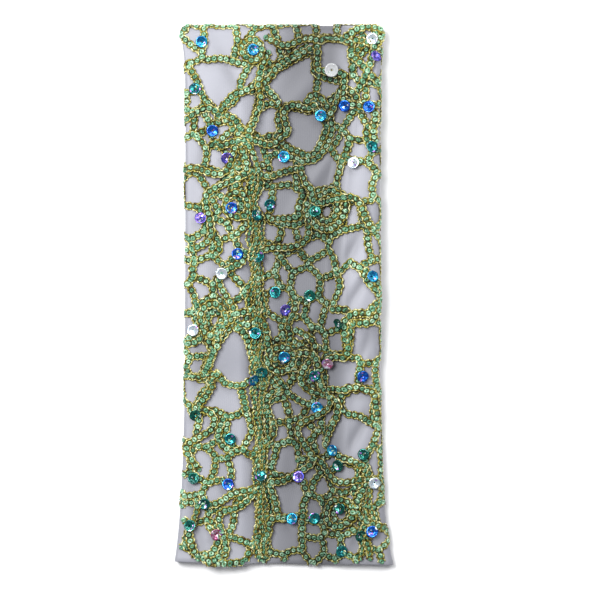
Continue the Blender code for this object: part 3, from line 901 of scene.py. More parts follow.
@dataclass
class LacePlan:
    """The lace's flat plan: cells of uneven size that share their sides."""

    fold: Fold
    seed: int = 6
    plan_left: float = 70.0
    plan_right: float = 76.0
    plan_before: float = 4.0
    lace_left: float = 65.0
    lace_right: float = 70.0
    lace_start: float = 0.8
    lace_turn: float = 0.7
    petal_radius: float = 3.3
    petal_turn: float = 0.3
    cell_small: float = 4.2
    cell_large: float = 9.0
    cell_tries: int = 11000
    cell_overlap: float = 0.93
    neighbours: int = 40
    stretch: float = 1.15
    shortest_side: float = 1.6
    rim_radius: float = 6.0
    bow: float = 0.05
    unevenness: float = 0.05
    rim_share: float = 0.12
    straightest: float = -0.55
    corner_share: float = 0.65
    corner_fade: float = 1.7

    @property
    def lace_end(self) -> float:
        """Return how far the lace reaches round the folded end."""
        return self.fold.upper_run + self.lace_turn * self.fold.bend_run

    @property
    def rectangle(self) -> tuple[Array, Array]:
        """Return the lace's low and high corners as flat places."""
        low = np.array((-self.lace_left, self.lace_start))
        return low, np.array((self.lace_right, self.lace_end))

    def holds(self, line: Array) -> NDArray[np.bool_]:
        """Return which flat places lie inside the lace's rectangle."""
        low, high = self.rectangle
        return np.all((line > low) & (line < high), axis=1)

    def distance(self, offsets: Array) -> Array:
        """Return distances measured shorter along the lace, so that cells are long that way."""
        return np.hypot(offsets[..., 0], offsets[..., 1] / self.stretch)

    def cornered(self, line: Array) -> Array:
        """Draw the lace round each large opening from a circle towards a polygon.

        A place moves along its ray from the opening's middle by a share of what lies between
        the circle and the polygon of the same mean radius, and less the further it is outside.

        Args:
            line: flat places.

        Returns:
            The places as moved.
        """
        moves = np.zeros_like(line)
        for opening in OPENINGS:
            offsets = line - (opening.across, opening.along)
            away = self.distance(offsets) / opening.radius
            angle = np.arctan2(offsets[:, 1], offsets[:, 0]) - math.radians(opening.turn)
            wedge = math.pi / opening.corners
            from_side = np.mod(angle, 2.0 * wedge) - wedge
            mean = math.log(1.0 / math.cos(wedge) + math.tan(wedge)) / wedge
            polygon = 1.0 / (mean * np.cos(from_side))
            near = soft_step((self.corner_fade - away) / (self.corner_fade - 1.0))
            moves += offsets * (self.corner_share * (polygon - 1.0) * near)[:, None]
        return np.clip(line + moves, *self.rectangle)

    def circles(self) -> tuple[Array, Array]:
        """Set the rosettes and large openings, then throw in others wherever they have room.

        Returns:
            The cells' centres and radii.
        """
        draws = np.random.default_rng(self.seed)
        cells = []
        for rosette in ROSETTES:
            cells.append((rosette.across, rosette.along, rosette.radius))
            reach = rosette.radius + self.petal_radius
            for petal in range(rosette.petals):
                angle = math.tau * (petal + self.petal_turn) / rosette.petals
                across = rosette.across + reach * math.cos(angle)
                along = rosette.along + reach * self.stretch * math.sin(angle)
                cells.append((across, along, self.petal_radius))
        cells += [(opening.across, opening.along, opening.radius) for opening in OPENINGS]
        centres, radii = np.split(np.array(cells), (2,), axis=1)
        radii = radii[:, 0]
        low = np.array((-self.plan_left, -self.plan_before))
        high = np.array((self.plan_right, self.fold.upper_run + self.fold.bend_run))
        for across, along, size in draws.random((self.cell_tries, 3)):
            centre = low + (high - low) * (across, along)
            radius = self.cell_small + (self.cell_large - self.cell_small) * size
            if np.all(self.distance(centres - centre) >= (radii + radius) * self.cell_overlap):
                centres = np.vstack((centres, centre))
                radii = np.append(radii, radius)
        return centres, radii

    @staticmethod
    def clip(corners: list[Array], sides: list[int], point: Array, outward: Array, name: int) -> Outline:
        """Cut a convex outline off beyond a line, where the distance along outward turns positive.

        Args:
            corners: the outline's corners.
            sides: what lies past the side after each corner.
            point: a point on the line.
            outward: the line's normal.
            name: what lies past the line.

        Returns:
            The corners and sides that are left.
        """
        kept = []
        names = []
        for index, corner in enumerate(corners):
            following = corners[(index + 1) % len(corners)]
            here = float(np.dot(corner - point, outward))
            there = float(np.dot(following - point, outward))
            if here <= 0.0:
                kept.append(corner)
                names.append(sides[index])
            if here <= 0.0 < there or there <= 0.0 < here:
                kept.append(corner + (following - corner) * here / (here - there))
                names.append(name if here <= 0.0 else sides[index])
        return kept, names

    def outline(self, centres: Array, radii: Array, index: int) -> Outline:
        """Cut the lace's rectangle down to one cell, along lines of equal power to two circles.

        Args:
            centres: the cells' centres.
            radii: the cells' radii.
            index: which cell.

        Returns:
            The cell's corners, and what lies past each side, negative for the lace's own rim.
        """
        low, high = self.rectangle
        corners = [low, np.array((high[0], low[1])), high, np.array((low[0], high[1]))]
        sides = [-1, -2, -3, -4]
        centre = centres[index]
        distance = self.distance(centres - centre)
        power = distance**2 - radii**2
        power[index] = -math.inf
        for other in np.argsort(power)[1 : self.neighbours]:
            apart = distance[other] ** 2
            share = (apart + radii[index] ** 2 - radii[other] ** 2) / (2.0 * apart)
            outward = unit((centres[other] - centre) / (1.0, self.stretch**2))
            meeting = centre + (centres[other] - centre) * share
            corners, sides = self.clip(corners, sides, meeting, outward, int(other))
            if len(corners) < 3:
                return [], []
        return corners, sides

    def net(self) -> Net:
        """Share each cell's sides with its neighbours, and draw every short side to one node.

        Returns:
            The net, whose sides bow a little towards the smaller of their two cells.
        """
        centres, radii = self.circles()
        places: list[Array] = []
        numbers: dict[frozenset, int] = {}
        outlines = []
        for index in range(len(centres)):
            corners, sides = self.outline(centres, radii, index)
            names = [frozenset((index, sides[turn - 1], sides[turn])) for turn in range(len(sides))]
            outlines.append((names, sides))
            for name, corner in zip(names, corners):
                if name not in numbers:
                    numbers[name] = len(places)
                    places.append(corner)
        for names, _ in outlines:
            for turn, name in enumerate(names):
                self.draw_together(numbers, places, name, names[turn - 1])
        shared = {}
        for index, (names, sides) in enumerate(outlines):
            for turn, name in enumerate(names):
                pair = (numbers[name], numbers[names[(turn + 1) % len(names)]])
                if pair[0] != pair[1]:
                    shared[tuple(sorted(pair))] = (index, sides[turn])
        ends = np.array(sorted(shared))
        beside = np.array([shared[tuple(pair)] for pair in ends])
        on_rim = beside[:, 1] < 0
        here = radii[beside[:, 0]]
        there = np.where(on_rim, self.rim_radius, radii[beside[:, 1]])
        nodes = np.array(places)
        first, second = nodes[ends[:, 0]], nodes[ends[:, 1]]
        away = unit((first + second) / 2.0 - centres[beside[:, 0]])
        length = np.linalg.norm(second - first, axis=1)
        draws = np.random.default_rng(self.seed + 1)
        uneven = self.unevenness * draws.standard_normal(len(length))
        bows = length * (self.bow * (here - there) / (here + there) * 2.0 + uneven)
        middles = (first + second) / 2.0 + away * np.where(on_rim, 0.0, bows)[:, None]
        kept = ~on_rim | (draws.random(len(length)) < self.rim_share)
        return Net(nodes, ends[kept], middles[kept])

    def strands(self, net: Net) -> list[Array]:
        """Run the chains on through each node along its straightest pairs of sides.

        Args:
            net: the lace's plan.

        Returns:
            Each strand's nodes and middles in turn.
        """
        owner = net.ends.ravel()
        leaving = unit(np.repeat(net.middles, 2, axis=0) - net.nodes[owner])
        order = np.argsort(owner, kind="stable")
        onward = np.full(len(owner), -1)
        for group in np.split(order, np.flatnonzero(np.diff(owner[order])) + 1):
            turns = leaving[group] @ leaving[group].T
            while turns.min() < self.straightest:
                first, second = np.unravel_index(np.argmin(turns), turns.shape)
                onward[group[first]] = group[second]
                onward[group[second]] = group[first]
                turns[[first, second]] = 1.0
                turns[:, [first, second]] = 1.0
        done = np.zeros(len(net.ends), bool)
        found = []
        for start in np.argsort(onward >= 0, kind="stable"):
            end = int(start)
            places = [net.nodes[owner[end]]]
            while end >= 0 and not done[end // 2]:
                done[end // 2] = True
                places.append(net.middles[end // 2])
                places.append(net.nodes[owner[end ^ 1]])
                end = int(onward[end ^ 1])
            if len(places) > 1:
                found.append(np.array(places))
        return found

    def draw_together(
        self, numbers: dict[frozenset, int], places: list[Array], first: frozenset, second: frozenset
    ) -> None:
        """Make two nodes one if the side between them is short.

        The node that lies on more sides of the lace's rectangle keeps its place.

        Args:
            numbers: each node's number by its name.
            places: the nodes' places by number.
            first: one node's name.
            second: the other's name.
        """
        kept, moved = numbers[first], numbers[second]
        short = float(np.linalg.norm(places[kept] - places[moved])) < self.shortest_side
        if kept == moved or not short:
            return
        if self.rims_at(numbers, moved) > self.rims_at(numbers, kept):
            kept, moved = moved, kept
        for name, number in numbers.items():
            if number == moved:
                numbers[name] = kept

    @staticmethod
    def rims_at(numbers: dict[frozenset, int], number: int) -> int:
        """Return how many sides of the lace's rectangle a node lies on."""
        return max(sum(side < 0 for side in name) for name, known in numbers.items() if known == number)


@dataclass(frozen=True)
class Bundle:
    """Chains on edge that run close side by side along a crowded fold of the lace."""

    start_across: float
    end_across: float
    start_along: float
    end_along: float
    chains: int
    spread: float


BUNDLES = (
    Bundle(-13.0, -15.5, 4.0, 130.0, 6, 7.5),
    Bundle(-15.5, -18.5, 112.0, 246.0, 5, 7.0),
    Bundle(54.5, 52.5, 4.0, 62.0, 3, 5.0),
)


class Meander(NamedTuple):
    """A long chain that winds across the web, going round the large openings."""

    across: float
    along: float
    heading: float
    length: float
    sway: float
    wave: float


MEANDERS = (
    Meander(-60.0, 196.0, 62.0, 150.0, 7.0, 46.0),
    Meander(-62.0, 240.0, 28.0, 120.0, 6.0, 38.0),
    Meander(-60.0, 118.0, 52.0, 150.0, 8.0, 50.0),
    Meander(-57.0, 60.0, 80.0, 140.0, 6.0, 36.0),
    Meander(-46.0, 6.0, 64.0, 120.0, 7.0, 42.0),
    Meander(-6.0, 4.0, 72.0, 150.0, 7.0, 38.0),
    Meander(62.0, 20.0, 112.0, 140.0, 8.0, 44.0),
    Meander(64.0, 96.0, 146.0, 110.0, 7.0, 36.0),
    Meander(64.0, 214.0, 154.0, 120.0, 6.0, 40.0),
    Meander(64.0, 268.0, 128.0, 76.0, 5.0, 30.0),
    Meander(-10.0, 329.0, -3.0, 76.0, 2.5, 31.0),
    Meander(-62.0, 275.0, 31.0, 96.0, 3.0, 61.0),
    Meander(-24.0, 262.0, 76.0, 62.0, 2.5, 45.0),
    Meander(64.0, 303.0, 146.0, 50.0, 2.0, 52.0),
    Meander(47.0, 296.0, 66.0, 44.0, 2.0, 40.0),
    Meander(-61.0, 36.0, 14.0, 46.0, 3.0, 34.0),
    Meander(66.0, 46.0, 160.0, 60.0, 3.5, 38.0),
    Meander(29.0, 330.0, 12.0, 38.0, 1.6, 33.0),
    Meander(43.0, 312.0, 58.0, 34.0, 1.8, 29.0),
    Meander(-58.0, 3.0, 88.0, 44.0, 2.4, 35.0),
)


class RingMotif(NamedTuple):
    """A closed round of chain on the web, as a flat place and a radius."""

    across: float
    along: float
    radius: float


RING_MOTIFS = (
    RingMotif(30.9, 222.0, 6.9),
    RingMotif(30.9, 222.0, 11.2),
    RingMotif(-31.5, 225.0, 7.0),
    RingMotif(-46.0, 154.5, 7.8),
    RingMotif(3.0, 130.0, 7.4),
    RingMotif(38.0, 32.5, 8.0),
    RingMotif(-19.5, 322.5, 6.4),
)


@dataclass
class Stitches:
    """What the chains are made of so far: ring places and tilts, and tubes for cords and cores."""

    places: list[Array] = field(default_factory=list)
    tilts: list[Array] = field(default_factory=list)
    cords: list[Shape] = field(default_factory=list)
    cores: list[Shape] = field(default_factory=list)


class Tops:
    """How high the lace's threads reach over the satin, on a grid of small squares."""

    square: float = 1.1
    full_depth: float = 1.6

    def __init__(self, flat: Array) -> None:
        """Note the highest thread in every square, and average each with its neighbours.

        Args:
            flat: flat places on all the threads.
        """
        self.low = flat[:, :2].min(axis=0)
        rows, columns = self.cell(flat)
        tops = np.zeros((rows.max() + 1, columns.max() + 1))
        np.maximum.at(tops, (rows, columns), flat[:, 2])
        around = np.pad(tops, 1, mode="edge")
        height, width = tops.shape
        bands = [around[down : down + height] for down in range(3)]
        self.mean = np.mean([band[:, over : over + width] for band in bands for over in range(3)], axis=0)

    def cell(self, flat: Array) -> tuple[Whole, Whole]:
        """Return the row and column of the square that each flat place lies in."""
        cells = ((flat[:, :2] - self.low) / self.square).astype(int)
        return cells[:, 1], cells[:, 0]

    def buried(self, flat: Array) -> Array:
        """Return how far below the threads around it each flat place lies, from 0 to 1."""
        return np.clip((self.mean[self.cell(flat)] - flat[:, 2]) / self.full_depth, 0.0, 1.0)


class Wave(NamedTuple):
    """A sine over flat places: its size, and how far it runs across and along in a radian."""

    size: float
    across: float
    along: float

    def at(self, across: Array, along: Array) -> Array:
        """Return the wave's value at flat places."""
        return self.size * np.sin(across / self.across + along / self.along)


@dataclass
class ChainLace:
    """The lace itself: chains of thread rings held between two gold cords."""

    face: FaceMap
    plan: LacePlan
    made: Stitches | None = None
    seed: int = 11
    pitch: float = 3.75
    ring_radius: float = 0.98
    ring_thread: float = 0.63
    ring_points: int = 9
    ring_sides: int = 5
    ring_spread: float = 0.15
    ring_stray: float = 0.2
    ring_tilt: float = 0.28
    crowded_tilt: float = 0.55
    most_spread: float = 2.0
    alone_count: float = 2.0
    crowded_count: float = 5.0
    crowd_square: float = 5.0
    base_share: float = 0.55
    cord_reach: float = 1.95
    cord_scallop: float = 0.36
    cord_rise: float = 0.35
    cord_radius: float = 0.51
    bundle_cord: float = 0.6
    bundle_ring: float = 0.88
    bundle_painted_shade: float = 0.6
    cord_sides: int = 4
    samples: int = 6
    core_width: float = 1.65
    core_height: float = 0.22
    lie: float = 1.0
    core_lie: float = 0.55
    aside_waves: tuple[Wave, ...] = (Wave(0.5, 17.0, 5.3), Wave(0.12, -6.1, 2.7))
    ahead_wave: Wave = Wave(0.5, 4.9, -21.0)
    lift_height: float = 0.45
    lift_across: float = 8.3
    lift_along: float = 11.7
    lift_phases: tuple[float, float] = (1.0, 0.5)
    calm_width: float = 9.0
    strand_lift: float = 0.7
    crossing_lift: float = 1.7
    buried_shade: float = 1.7
    turn_press: float = 0.45
    end_trim: float = 1.2
    most_trim: float = 0.25
    closed_gap: float = 0.25
    second_share: float = 0.17
    second_offset: float = 4.1
    second_ease: float = 0.25
    second_stitches: float = 4.0
    winding_step: int = 4
    least_away: float = 0.1
    motif_points: int = 49
    motif_wobble: float = 0.05
    motif_stretch: float = 1.08
    bundle_points: int = 200
    bundle_pitch: float = 3.3
    bundle_reach: float = 1.2
    bundle_tilt: float = 1.2
    bundle_lift: float = 1.7
    bundle_low: float = 0.25
    bundle_sway: float = 1.9
    quick_share: float = 0.5
    sway_slow: float = 7.5
    sway_quick: float = 3.1
    gather_size: float = 8.5
    gather_width: float = 20.0
    gather_start: float = 262.0
    gather_ease: float = 60.0
    gather_open_end: float = -13.5
    gather_middle: float = -20.5
    gather_span: float = 61.0
    piece_triangles: int = 150000

    def gathered(self, flat: Array) -> Array:
        """Crowd the lace along the left wall of the long hollow, and ease it elsewhere.

        Each place moves across by an even ramp from side to side less a soft step at the wall.

        Args:
            flat: places across and along the face, in the last axis.

        Returns:
            The same places with the lace gathered.
        """
        across = flat[..., 0]
        along = flat[..., 1]
        taken = self.gather_size * soft_step((self.gather_start - along) / self.gather_ease)
        middle = self.gather_middle - self.gather_open_end
        band = self.gather_open_end + middle * along / self.gather_start
        eased = np.clip((across + self.gather_span) / (2.0 * self.gather_span), 0.0, 1.0)
        crowded = soft_step((across - band) / self.gather_width + 0.5)
        moved = across + taken * (eased - crowded)
        return np.concatenate((moved[..., None], flat[..., 1:]), axis=-1)

    def settle(self, flat: Array) -> Array:
        """Let the lace wander a little and lift off the satin in slow waves of sines.

        It lies close on the bends at the sides and at the folded end.

        Args:
            flat: places across, along and above the face, in the last axis.

        Returns:
            The places as the lace really lies.
        """
        across = flat[..., 0]
        along = flat[..., 1]
        aside = sum(wave.at(across, along) for wave in self.aside_waves)
        ahead = self.ahead_wave.at(across, along)
        lifted = np.sin(across / self.lift_across + self.lift_phases[0])
        lifted = 0.5 + 0.5 * lifted * np.sin(along / self.lift_along + self.lift_phases[1])
        calm = soft_step((self.gather_span - np.abs(across)) / self.calm_width)
        calm = calm * soft_step((self.face.fold.upper_run - along) / self.calm_width)
        height = flat[..., 2] * (1.0 - self.turn_press * (1.0 - calm)) + self.lift_height * lifted * calm
        return np.stack((across + aside, along + ahead, height), axis=-1)

    def stitched(self, line: Array, pitch: float, trim: float) -> tuple[Array, int]:
        """Divide a line into whole stitches, each with the same number of samples.

        Args:
            line: places along the line.
            pitch: the length that a stitch should have.
            trim: how much is left off at both ends.

        Returns:
            The sampled places, and how many stitches they make.
        """
        length = run_lengths(line[None])[0]
        trim = min(trim, self.most_trim * length[-1])
        count = max(1, round((length[-1] - 2.0 * trim) / pitch))
        stops = np.linspace(trim, length[-1] - trim, count * self.samples + 1)
        return np.stack([np.interp(stops, length, line[:, axis]) for axis in (0, 1)], axis=-1), count

    def closed(self, line: Array) -> float:
        """Return 1 if a line ends where it starts, else 0."""
        return float(np.linalg.norm(line[0] - line[-1]) < self.closed_gap * self.pitch)

    def cord_lines(self, line: Array, count: int, reach: Array | float, lift: Array) -> Array:
        """Lay a chain's two cords beside its rings, scalloped by a cosine and waved by a sine.

        Args:
            line: the chain's own line.
            count: how many stitches it has.
            reach: how far the cords swing out.
            lift: how much higher than usual the chain lies.

        Returns:
            Both cords' middle lines in flat places, by cord and sample.
        """
        turns = math.tau * np.linspace(0.0, count, len(line))
        swing = left_of(line) * (reach + self.cord_scallop * np.cos(turns))[:, None]
        rise = self.cord_rise * np.sin(turns)
        height = self.lie + lift
        return np.stack([np.column_stack((line + sign * swing, height + sign * rise)) for sign in (1, -1)])

    def add_chain(self, made: Stitches, line: Array, trim: float, lift: float) -> None:
        """Stitch one flat chain along a line.

        Args:
            made: the stitches so far.
            line: places along the line.
            trim: how much is left off at both ends.
            lift: how much higher than the web the chain lies, away from its ends.
        """
        line, count = self.stitched(self.gathered(self.plan.cornered(line)), self.pitch, trim)
        part = np.linspace(0.0, 1.0, len(line))
        raised = lift * soft_step(self.closed(line) + np.minimum(part, 1.0 - part) * count / 2.0)
        cords = self.cord_lines(line, count, self.cord_reach, raised)
        made.cords.append(self.tubes(cords, (self.cord_radius, self.cord_radius)))
        # Painted shade: a flat dark core under the chain fills the gaps between rings and cords.
        core = np.column_stack((line, self.core_lie + raised))[:: self.samples // 2]
        made.cores.append(self.tubes(core[None], (self.core_width, self.core_height)))
        made.places.append(np.column_stack((line, self.lie + raised))[:: self.samples])
        made.tilts.append(np.zeros(count + 1))

    def add_bundle(self, made: Stitches, bundle: Bundle) -> None:
        """Stitch a bundle's chains on edge, each swaying in its own two sines, so that they cross.

        Args:
            made: the stitches so far.
            bundle: where it runs and how many chains it has.
        """
        part = np.linspace(0.0, 1.0, self.bundle_points)
        along = bundle.start_along + (bundle.end_along - bundle.start_along) * part
        middle = bundle.start_across + (bundle.end_across - bundle.start_across) * part
        draws = np.random.default_rng(round(bundle.end_along))
        for chain in range(bundle.chains):
            share = chain / (bundle.chains - 1) - 0.5
            slow, quick, lifted = math.tau * draws.random(3)
            sway = np.sin(along / self.sway_slow + slow)
            sway += self.quick_share * np.sin(along / self.sway_quick + quick)
            line = np.stack((middle + bundle.spread * share + self.bundle_sway * sway, along), axis=-1)
            line, count = self.stitched(line, self.bundle_pitch, 0.0)
            wave = 0.5 + 0.5 * np.sin(line[:, 1] / self.sway_slow + lifted)
            lift = self.bundle_lift * (self.bundle_low + (1.0 - self.bundle_low) * wave)
            cords = self.cord_lines(line, count, self.bundle_reach * (0.5 + wave), lift)
            made.cords.append(self.tubes(cords, (self.bundle_cord, self.bundle_cord)))
            made.places.append(np.column_stack((line, self.lie + lift))[:: self.samples])
            made.tilts.append(np.full(count + 1, self.bundle_tilt * (1.0 if chain % 2 else -1.0)))

    def winding(self, meander: Meander) -> Array:
        """Run a sine along a straight heading, and push it out of every large opening.

        Args:
            meander: the long chain.

        Returns:
            Places along its line, as far as they lie on the lace.
        """
        reach = np.linspace(0.0, meander.length, round(meander.length))
        turn = math.radians(meander.heading)
        aside = meander.sway * np.sin(math.tau * reach / meander.wave + meander.across)
        across = meander.across + reach * math.cos(turn) - aside * math.sin(turn)
        along = meander.along + reach * math.sin(turn) + aside * math.cos(turn)
        line = np.stack((across, along), axis=-1)
        for opening in OPENINGS:
            offsets = line - (opening.across, opening.along)
            away = np.maximum(self.plan.distance(offsets), self.least_away)
            line = line + offsets * np.maximum(opening.radius / away - 1.0, 0.0)[:, None]
        line = smooth_line(line[:: self.winding_step], self.winding_step)
        return line[self.plan.holds(line)]

    def circling(self, motif: RingMotif) -> Array:
        """Run a circle, a little out of round and longer along the lace, round a ring motif.

        Args:
            motif: the ring motif.

        Returns:
            Places along the circle, of which the last is the first again.
        """
        turn = np.linspace(0.0, math.tau, self.motif_points)
        radius = motif.radius * (1.0 + self.motif_wobble * np.sin(2.0 * turn + motif.across))
        along = motif.along + self.motif_stretch * radius * np.sin(turn)
        return np.stack((motif.across + radius * np.cos(turn), along), axis=-1)

    def seconds(self, draws: np.random.Generator, line: Array) -> list[Array]:
        """Lay a second chain beside some of the strands, closing on the first at both ends.

        Args:
            draws: the random draws.
            line: the strand's places.

        Returns:
            No line, or one.
        """
        pick, way = draws.random(2)
        length = run_lengths(line[None])[0]
        if pick > self.second_share or length[-1] < self.second_stitches * self.pitch:
            return []
        part = length / length[-1]
        eased = np.minimum(1.0, np.minimum(part, 1.0 - part) / self.second_ease)
        aside = self.second_offset * np.sqrt(eased)
        side = 1.0 if way < 0.5 else -1.0
        beside = line + left_of(line) * (side * aside)[:, None]
        return [beside] if self.plan.holds(beside).all() else []

    def tubes(self, lines: Array, radii: tuple[float, float]) -> Shape:
        """Carry an oval profile along lines of flat places, with a cap at both ends.

        Args:
            lines: the middle lines, by line, sample and axis.
            radii: the profile's half width and half height.

        Returns:
            The flat points, and the faces.
        """
        sides = self.cord_sides
        tangent = unit(np.gradient(lines, axis=1))
        side = unit(np.cross((0.0, 0.0, 1.0), tangent))
        top = np.cross(tangent, side)
        angle = math.tau * np.arange(sides) / sides
        aside = radii[0] * np.cos(angle)[:, None] * side[..., None, :]
        points = lines[..., None, :] + aside + radii[1] * np.sin(angle)[:, None] * top[..., None, :]
        count, samples = lines.shape[:2]
        walls = wrapped_faces(samples, sides, ends_meet=False)
        points, walls = repeated(points.reshape(count, samples * sides, 3), walls)
        first = np.arange(count)[:, None] * samples * sides + np.arange(sides)
        last = (first + (samples - 1) * sides)[:, ::-1]
        return points, np.concatenate((walls, first, last))

    def ring(self) -> Shape:
        """Carry the thread's small circle once round the ring's large one.

        Returns:
            The ring's points about its own middle, and its faces.
        """
        turn, roll = np.meshgrid(np.arange(self.ring_points), np.arange(self.ring_sides), indexing="ij")
        around = math.tau * turn / self.ring_points
        over = math.tau * roll / self.ring_sides
        reach = self.ring_radius + self.ring_thread * np.cos(over)
        height = self.ring_thread * np.sin(over)
        shape = np.stack((reach * np.cos(around), reach * np.sin(around), height), axis=-1)
        return shape.reshape(-1, 3), wrapped_faces(self.ring_points, self.ring_sides)

    @staticmethod
    def copies(shape: Shape, places: Array, tilts: Array, sizes: Array) -> Shape:
        """Set a copy of a small shape at each place, tipped out of the lace.

        Args:
            shape: the shape's points about its own middle, and its faces.
            places: flat places for the copies.
            tilts: two angles for each copy, about the lace's two directions.
            sizes: how large each copy is, against the shape.

        Returns:
            All the copies' flat points and faces.
        """
        first, second = tilts[:, :1], tilts[:, 1:]
        x, y, z = shape[0].T
        raised = z * np.cos(first) + x * np.sin(first)
        level = x * np.cos(first) - z * np.sin(first)
        forward = y * np.cos(second) - raised * np.sin(second)
        height = raised * np.cos(second) + y * np.sin(second)
        points = places[:, None] + np.stack((level, forward, height), axis=-1) * sizes[:, None, None]
        return repeated(points, shape[1])

    def pieces(self, name: str, shape: Shape, tone: Array, tops: Tops, material: Material) -> list[Piece]:
        """Split one large set of small shapes evenly, so that each piece stays small.

        Args:
            name: the pieces' common name.
            shape: the flat points, as they lie on the face, and the four-cornered faces.
            tone: a number from 0 to 1 for each point.
            tops: how high the lace reaches everywhere.
            material: the finish.

        Returns:
            The pieces.
        """
        points, faces = shape
        placed = self.face.lift(points)
        # Painted shade: the threads' colour is darkened in the satin's hollows and where a thread lies
        # below the threads around it.
        hollow = self.face.fold.hollow(points[:, 0], points[:, 1])
        hollow += self.buried_shade * tops.buried(points)
        parts = math.ceil(2 * len(faces) / self.piece_triangles)
        pieces = []
        for number, chosen in enumerate(np.array_split(np.arange(len(faces)), parts)):
            used, corners = np.unique(faces[chosen], return_inverse=True)
            mesh = new_mesh(f"{name}_{number + 1}", placed[used], corners.reshape(-1, 4))
            add_values(mesh, "tone", tone[used])
            add_values(mesh, "hollow", hollow[used])
            add_uv(mesh, points[used, :2])
            pieces.append(new_piece(mesh, material, "lace_web"))
        return pieces

    def crowding(self, places: Array) -> Array:
        """Count the stitches in each place's square of the face, and scale the count.

        Args:
            places: flat places of all the stitches.

        Returns:
            How crowded each is, from 0 for a lone chain to 1.
        """
        cells = ((places[:, :2] - places[:, :2].min(axis=0)) / self.crowd_square).astype(int)
        counts = np.zeros(cells.max(axis=0) + 1)
        np.add.at(counts, tuple(cells.T), 1.0)
        return np.clip((counts[tuple(cells.T)] - self.alone_count) / self.crowded_count, 0.0, 1.0)

    def settled(self, shape: Shape) -> Shape:
        """Return a shape whose points lie as the lace does, with the same faces."""
        return self.settle(shape[0]), shape[1]

    def stitches(self) -> Stitches:
        """Stitch chains along the plan's strands, with a second beside some, and all the others.

        The others are the winding chains, the ring motifs and the bundles.

        Returns:
            All the stitches in flat places.
        """
        draws = np.random.default_rng(self.seed)
        made = Stitches()
        for strand in self.plan.strands(self.plan.net()):
            line = smooth_line(strand)
            self.add_chain(made, line, self.end_trim, self.strand_lift * draws.random())
            for beside in self.seconds(draws, line):
                self.add_chain(made, beside, 0.0, self.crossing_lift / 2.0)
        for meander in MEANDERS:
            self.add_chain(made, self.winding(meander), 0.0, self.crossing_lift * (0.5 + draws.random()))
        for motif in RING_MOTIFS:
            self.add_chain(made, self.circling(motif), 0.0, self.crossing_lift)
        for bundle in BUNDLES:
            self.add_bundle(made, bundle)
        return made

    def build(self, thread: Material, foil: Material, core: Material) -> list[Piece]:
        """Stitch the whole lace.

        Args:
            thread: the mint thread's finish.
            foil: the gold cord's finish.
            core: the dark core's finish.

        Returns:
            The pieces: rings, cords and cores.
        """
        made = self.made = self.stitches()
        draws = np.random.default_rng(self.seed + 1)
        places = np.concatenate(made.places)
        LOG.info("lace: %d stitches in %d chains", len(places), len(made.places))
        places += self.ring_stray * draws.uniform(-1.0, 1.0, places.shape)
        tilts = np.clip(draws.standard_normal((len(places), 2)), -self.most_spread, self.most_spread)
        tilts *= (self.ring_tilt + self.crowded_tilt * self.crowding(places))[:, None]
        turned = np.concatenate(made.tilts)
        tilts[:, 0] += turned
        sizes = 1.0 + self.ring_spread * draws.uniform(-1.0, 1.0, len(places))
        sizes *= np.where(turned == 0.0, 1.0, self.bundle_ring)
        ring = self.ring()
        rings = self.settled(self.copies(ring, places, tilts, sizes))
        cords = self.settled(joined(made.cords))
        cores = self.settled(joined(made.cores))
        tops = Tops(np.concatenate((rings[0], cords[0])))
        # Painted highlight: each ring's tone rises and falls twice round it at a random angle, standing
        # for light on the wound thread; the base share is the ring's own random tone. Rings in bundles are
        # made darker, which is painted shade.
        round_ring = np.arctan2(ring[0][:, 1], ring[0][:, 0])
        base, phase = draws.random((2, len(places), 1))
        wound = 0.5 + 0.5 * np.cos(2.0 * round_ring + math.tau * phase)
        ring_tone = self.base_share * base + (1.0 - self.base_share) * wound
        ring_tone = (ring_tone * np.where(turned == 0.0, 1.0, self.bundle_painted_shade)[:, None]).ravel()
        pieces = self.pieces("lace_rings", rings, ring_tone, tops, thread)
        for name, shape, material in (("lace_cords", cords, foil), ("lace_cores", cores, core)):
            tone = np.repeat(draws.random(len(shape[0]) // self.cord_sides), self.cord_sides)
            pieces += self.pieces(name, shape, tone, tops, material)
        return pieces


class Tone(Enum):
    """The colours that a sequin's facets flash, as its two main ones in linear light."""

    BLUE = ((0.003, 0.040, 0.40), (0.008, 0.20, 0.70))
    CYAN = ((0.003, 0.12, 0.36), (0.02, 0.42, 0.62))
    TEAL = ((0.001, 0.075, 0.11), (0.008, 0.30, 0.28))
    GREEN = ((0.001, 0.050, 0.045), (0.005, 0.20, 0.15))
    VIOLET = ((0.03, 0.05, 0.42), (0.26, 0.16, 0.58))
    ROSE = ((0.42, 0.06, 0.18), (0.75, 0.62, 0.78))
    PALE = ((0.60, 0.76, 0.90), (0.98, 1.0, 1.0))


BLUE, CYAN, TEAL, GREEN, VIOLET, ROSE, PALE = Tone


class Sequin(NamedTuple):
    """One sequin, where it lies seen from above, with its colours and how it tips aside."""

    across: float
    along: float
    tone: Tone
    tip: float = 12.0


